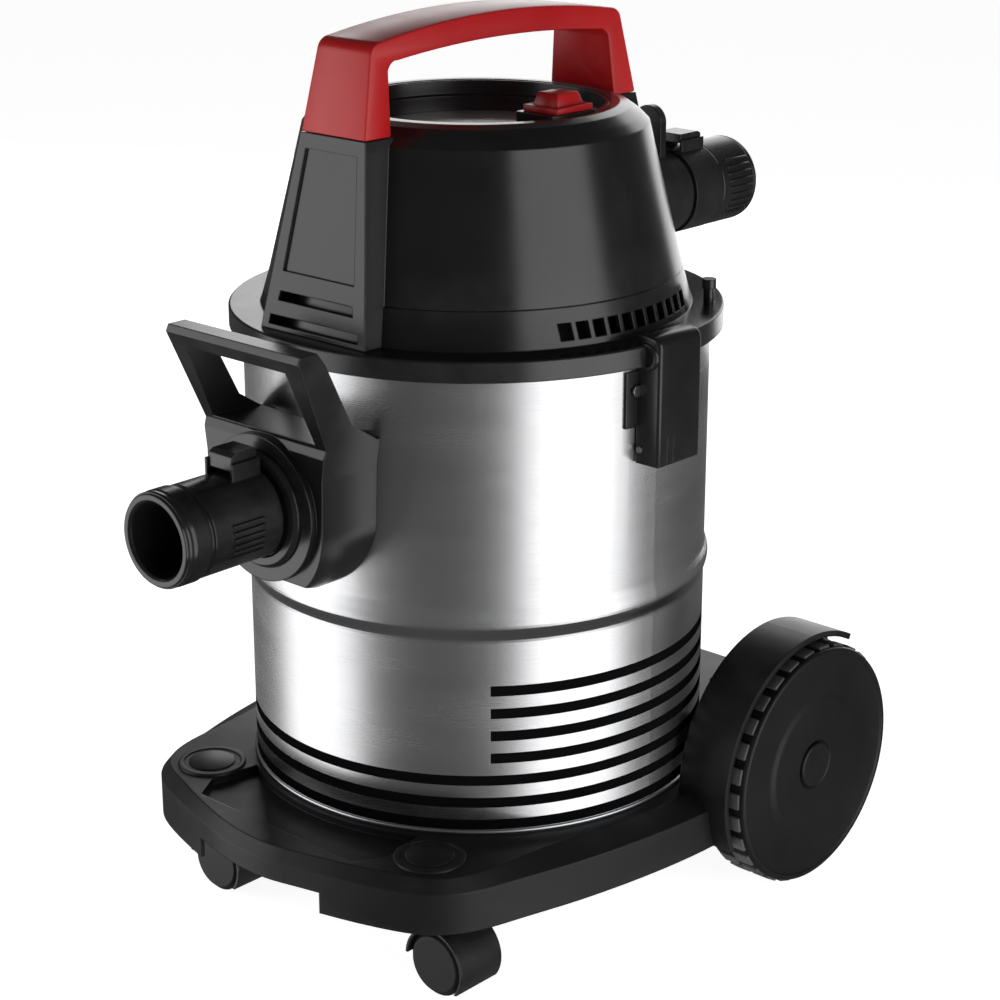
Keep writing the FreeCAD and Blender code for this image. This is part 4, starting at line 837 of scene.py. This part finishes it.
# %% An open tube
PLEATS = 56
FOLD_IN = 0.905
CLOTH_THICK = 0.0007
low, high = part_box("filter_cloth")
centre = middle("filter_cloth")
sleeve_r = (high.x - low.x) / 2 - 0.0006
sleeve_tall = high.z - low.z - 0.001
bpy.ops.object.select_all(action="DESELECT")
bpy.ops.mesh.primitive_cylinder_add(
    vertices=2 * PLEATS, radius=sleeve_r, depth=sleeve_tall, end_fill_type="NOTHING",
    location=centre,
)
sleeve = bpy.context.active_object
sleeve.name = "filter_pleats"
settle(sleeve)


# %% Pleats folded in
def inner_fold(a, b):
    """True for every second upright edge of the tube."""
    upright = abs(a.x - b.x) < 1e-6 and abs(a.y - b.y) < 1e-6
    turn = math.atan2(a.y - centre.y, a.x - centre.x)
    return upright and round(turn * PLEATS / math.pi) % 2 == 1


print("folds", pick_edges(sleeve, inner_fold))
bpy.ops.transform.resize(value=(FOLD_IN, FOLD_IN, 1), center_override=centre)
out_of_edit()
cloth = sleeve.modifiers.new("cloth", "SOLIDIFY")
cloth.thickness = CLOTH_THICK
cloth.offset = 0
apply_all(sleeve)
round_edges(sleeve, 0.0003, 2, 20)
dress(sleeve, "filter_cloth", CLOTH)
print("sleeve", len(sleeve.data.polygons), "faces")

# %% [markdown]
# ## Silencer foam
# The foam round the motor is a soft ring. Its corners are full and round, and its skin
# wanders a little, because foam is cut and never quite true. A fine mesh moved by a slow
# cloud pattern gives that without any weight or pressure to work out.

# %% Foam ring
FOAM_CORNER = 3
FOAM_WALL = 10.6
SWELL = 0.0012
low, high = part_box("silencer_foam")
outer = (high.x - low.x) / 2 / MM - 0.8 - FOAM_CORNER
tall = (high.z - low.z) / MM - 1.2 - FOAM_CORNER
inner = outer - FOAM_WALL + 2 * FOAM_CORNER
ring = turned("foam_ring", mm(
    *arc(outer, FOAM_CORNER, FOAM_CORNER, -90, 0, 4), *arc(outer, tall, FOAM_CORNER, 0, 90, 4),
    *arc(inner, tall, FOAM_CORNER, 90, 180, 4), *arc(inner, FOAM_CORNER, FOAM_CORNER, 180, 270, 4),
), 120)
into_edit(ring)
bpy.ops.mesh.select_all(action="SELECT")
bpy.ops.mesh.subdivide(number_cuts=1)
out_of_edit()
softness = bpy.data.textures.new("foam_swell", "CLOUDS")
softness.noise_scale = 0.03
swell = ring.modifiers.new("swell", "DISPLACE")
swell.texture = softness
swell.strength = SWELL
swell.mid_level = 0.5
apply_all(ring)
stand(ring, (AXIS.x, AXIS.y, low.z + SWELL / 2))
smooth(ring, 60)
dress(ring, "silencer_foam", FOAM)
print("foam", len(ring.data.polygons), "faces")

# %% [markdown]
# ## Rims, rings and small mouldings
# What tells a real moulding from a block is its small work: the ring pressed round each
# caster cap, the rolled hem where the drum meets the dolly, the band at the mouth of a
# cuff.

# %% Rings round the caster caps
CAP_R = 19.0
CAP_RING = mm(
    (19.4, -2.0), (22.6, -2.0), (22.6, -0.6), (22.2, 0.1), (21.4, 0.4), (20.4, 0.4),
    (19.7, 0.1), (19.4, -0.6),
)
CAP_DISC = mm((0, -0.2), (14.6, -0.2), (15.4, 0.2), (15.4, 0.5), (14.4, 0.9), (0, 1.1))
caps_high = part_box("caster_caps")[1]
cap_y = middle("caster_caps").y
for side, sign in (("left", -1), ("right", 1)):
    cap_place = ((caps_high.x - CAP_R * MM) * sign, cap_y, caps_high.z)
    cap_ring = turned("cap_ring_" + side, CAP_RING)
    stand(cap_ring, cap_place)
    dress(cap_ring, "dolly_deck", MATTE, stands_for=False)
    disc = turned("cap_disc_" + side, CAP_DISC)
    stand(disc, cap_place)
    dress(disc, "caster_caps", MATTE, stands_for=False)

# %% Rolled hem at the foot of the drum
HEM_UP = 0.0017
HEM_HALF = (0.0013, 0.0015)
hem_r = ((DRUM_HIGH.x - DRUM_LOW.x) / 2 / MM - 3) * MM
half_r, half_z = HEM_HALF
hem_turns = [math.radians(degrees) for degrees in range(0, 360, 30)]
hem = turned("drum_hem", [
    (hem_r + half_r * math.cos(t), HEM_UP + half_z * math.sin(t)) for t in hem_turns
], 160)
stand(hem, (AXIS.x, AXIS.y, DRUM_LOW.z))
dress(hem, "drum_shell", ZINC, stands_for=False)
print("hem radius", round(hem_r, 5))

# %% Band at the hose cuff's mouth
cuff_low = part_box("hose_cuff")[0]
band = turned("cuff_band", mm(
    (27.9, 1.4), (28.8, 1.6), (29.1, 2.2), (29.1, 5.0), (28.8, 5.6), (27.9, 5.8),
), 120)
stand(band, (0, cuff_low.y, middle("lock_ring").z), BACKWARD)
dress(band, "hose_cuff", BLACK, stands_for=False)

# %% [markdown]
# ## Field coils
# Inside the cover sits the motor. Its field coils are wound copper: turned rings with a
# groove for every layer of wire, laced at four places. Drawing each wire would cost far
# more faces and look the same behind the vents.

# %% Field coils
WIRE_LAYERS = 6
WIRE_PITCH = 1.4
WINDING_R = 31.0
COIL_INNER = 30.4
COIL_OUTER = 39.6
COIL_FOOT = 0.4
LACE_LOW = (29.8 * MM, -1.2 * MM, 0.5 * MM)
LACE_HIGH = (40.2 * MM, 1.2 * MM, 7.0 * MM)
stator_low, stator_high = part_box("stator")
stator_middle = middle("stator")
winding = []
for layer in range(WIRE_LAYERS):
    wire_r = WINDING_R + layer * WIRE_PITCH
    winding += [(wire_r, COIL_FOOT + 5.2), (wire_r + WIRE_PITCH / 2, COIL_FOOT + 6.0)]
COIL = mm((COIL_INNER, COIL_FOOT), *winding, (COIL_OUTER, 5.4), (COIL_OUTER, COIL_FOOT))
for end, height, flip in (("lower", stator_low.z, 180), ("upper", stator_high.z, 0)):
    coil = turned("field_coil_" + end, COIL)
    laces = slab("lace", LACE_LOW, LACE_HIGH)
    round_edges(laces, 0.0008)
    copies_round(laces, 4)
    coil = joined("field_coil_" + end, coil, laces)
    stand(coil, (stator_middle.x, stator_middle.y, height), (flip, 0, 0))
    smooth(coil)
    dress(coil, "stator", COPPER, stands_for=False)
    print(coil.name, len(coil.data.polygons), "faces")

# %% [markdown]
# ## Floor, light and camera
# A pale floor runs past the view on every side. It could be lit until it is pale, but the
# lamps are set for the drum, so it glows faintly by itself. It is kept out of reflections,
# because polished steel shows the room, not itself, and would turn white with it.

# %% The floor
FLOOR_SIZE = 60
FLOOR_DOWN = 0.0002
FLOOR_GLOW = 0.9
FLOOR_PALE = (0.86, 0.86, 0.86)
FLOOR_GREY = (0.83, 0.83, 0.83)
bpy.ops.object.select_all(action="DESELECT")
bpy.ops.mesh.primitive_plane_add(size=FLOOR_SIZE, location=(0, 0, -FLOOR_DOWN))
floor = bpy.context.active_object
floor.name = "floor"
floor_paint, floor_tree, floor_shader = fresh("pale_floor")
speckle = noise(floor_tree, 3, 5)
floor_tone = blend_colours(floor_tree, spread(floor_tree, speckle, 0, 1), FLOOR_PALE, FLOOR_GREY)
floor_tree.links.new(floor_tone, floor_shader.inputs["Base Color"])
floor_tree.links.new(spread(floor_tree, speckle, 0.75, 0.9), floor_shader.inputs["Roughness"])
floor_shader.inputs["Emission Color"].default_value = (1, 1, 1, 1)
floor_shader.inputs["Emission Strength"].default_value = FLOOR_GLOW
floor.data.materials.append(floor_paint)
floor.visible_glossy = False
floor.visible_shadow = False

# %% [markdown]
# Two tall soft boxes stand right of the camera and at its left, and the dark gap between
# them is what draws the drum. Point lamps would leave it with two thin lines. The boxes
# reach below the floor, because an upright wall seen from above mirrors what lies low. A
# third box behind lifts the rims and the round plate on top.

# %% Soft boxes
ROOM_LIGHT = 0.075
# name, azimuth in degrees, distance, bottom, top, width, watts
SOFT_BOXES = [
    ("box_right", 1, 2.2, -1.1, 1.5, 2.1, 38),
    ("box_left", -132, 2.2, -1.1, 1.5, 2.0, 33),
    ("box_back", 118, 2.4, -0.3, 1.8, 2.4, 30),
]


def soft_box(name, azimuth, distance, low, high, width, watts):
    """An upright panel that looks level at the middle of the scene."""
    panel = bpy.data.lights.new(name, "AREA")
    panel.shape = "RECTANGLE"
    panel.size = width
    panel.size_y = high - low
    panel.energy = watts
    lamp = bpy.data.objects.new(name, panel)
    bpy.context.scene.collection.objects.link(lamp)
    turn = math.radians(azimuth)
    inward = Vector((-math.cos(turn), -math.sin(turn), 0))
    lamp.location = (distance * math.cos(turn), distance * math.sin(turn), (low + high) / 2)
    lamp.rotation_euler = inward.to_track_quat("-Z", "Y").to_euler()
    lamp.visible_camera = False


for lamp_facts in SOFT_BOXES:
    soft_box(*lamp_facts)

# %% Room light
world = bpy.data.worlds.new("studio")
bpy.context.scene.world = world
world.use_nodes = True
room = world.node_tree.nodes["Background"]
room.inputs["Color"].default_value = (1, 1, 1, 1)
room.inputs["Strength"].default_value = ROOM_LIGHT
bpy.context.scene.view_settings.view_transform = "Standard"
print("lights", len(SOFT_BOXES))

# %% [markdown]
# The camera stands in front and to the right, a little above the handle, with a long lens
# that keeps upright lines nearly parallel. It could be aimed by a constraint at an empty.
# Two angles worked out from the drum's axis do the same and leave nothing extra behind.

# %% The camera
CAMERA_PLACE = (1.01678, -1.08386, 0.7605)
LENS = 85.85
SENSOR = 36
YAW_OFFSET = math.radians(0.58)
PITCH = math.radians(18.882)
camera_data = bpy.data.cameras.new("camera")
camera_data.lens = LENS
camera_data.sensor_width = SENSOR
camera = bpy.data.objects.new("camera", camera_data)
bpy.context.scene.collection.objects.link(camera)
camera.location = CAMERA_PLACE
yaw = math.atan2(AXIS.y - camera.location.y, -camera.location.x) - YAW_OFFSET
level = math.cos(PITCH)
gaze = Vector((math.cos(yaw) * level, math.sin(yaw) * level, -math.sin(PITCH)))
camera.rotation_euler = gaze.to_track_quat("-Z", "Y").to_euler()
bpy.context.scene.camera = camera
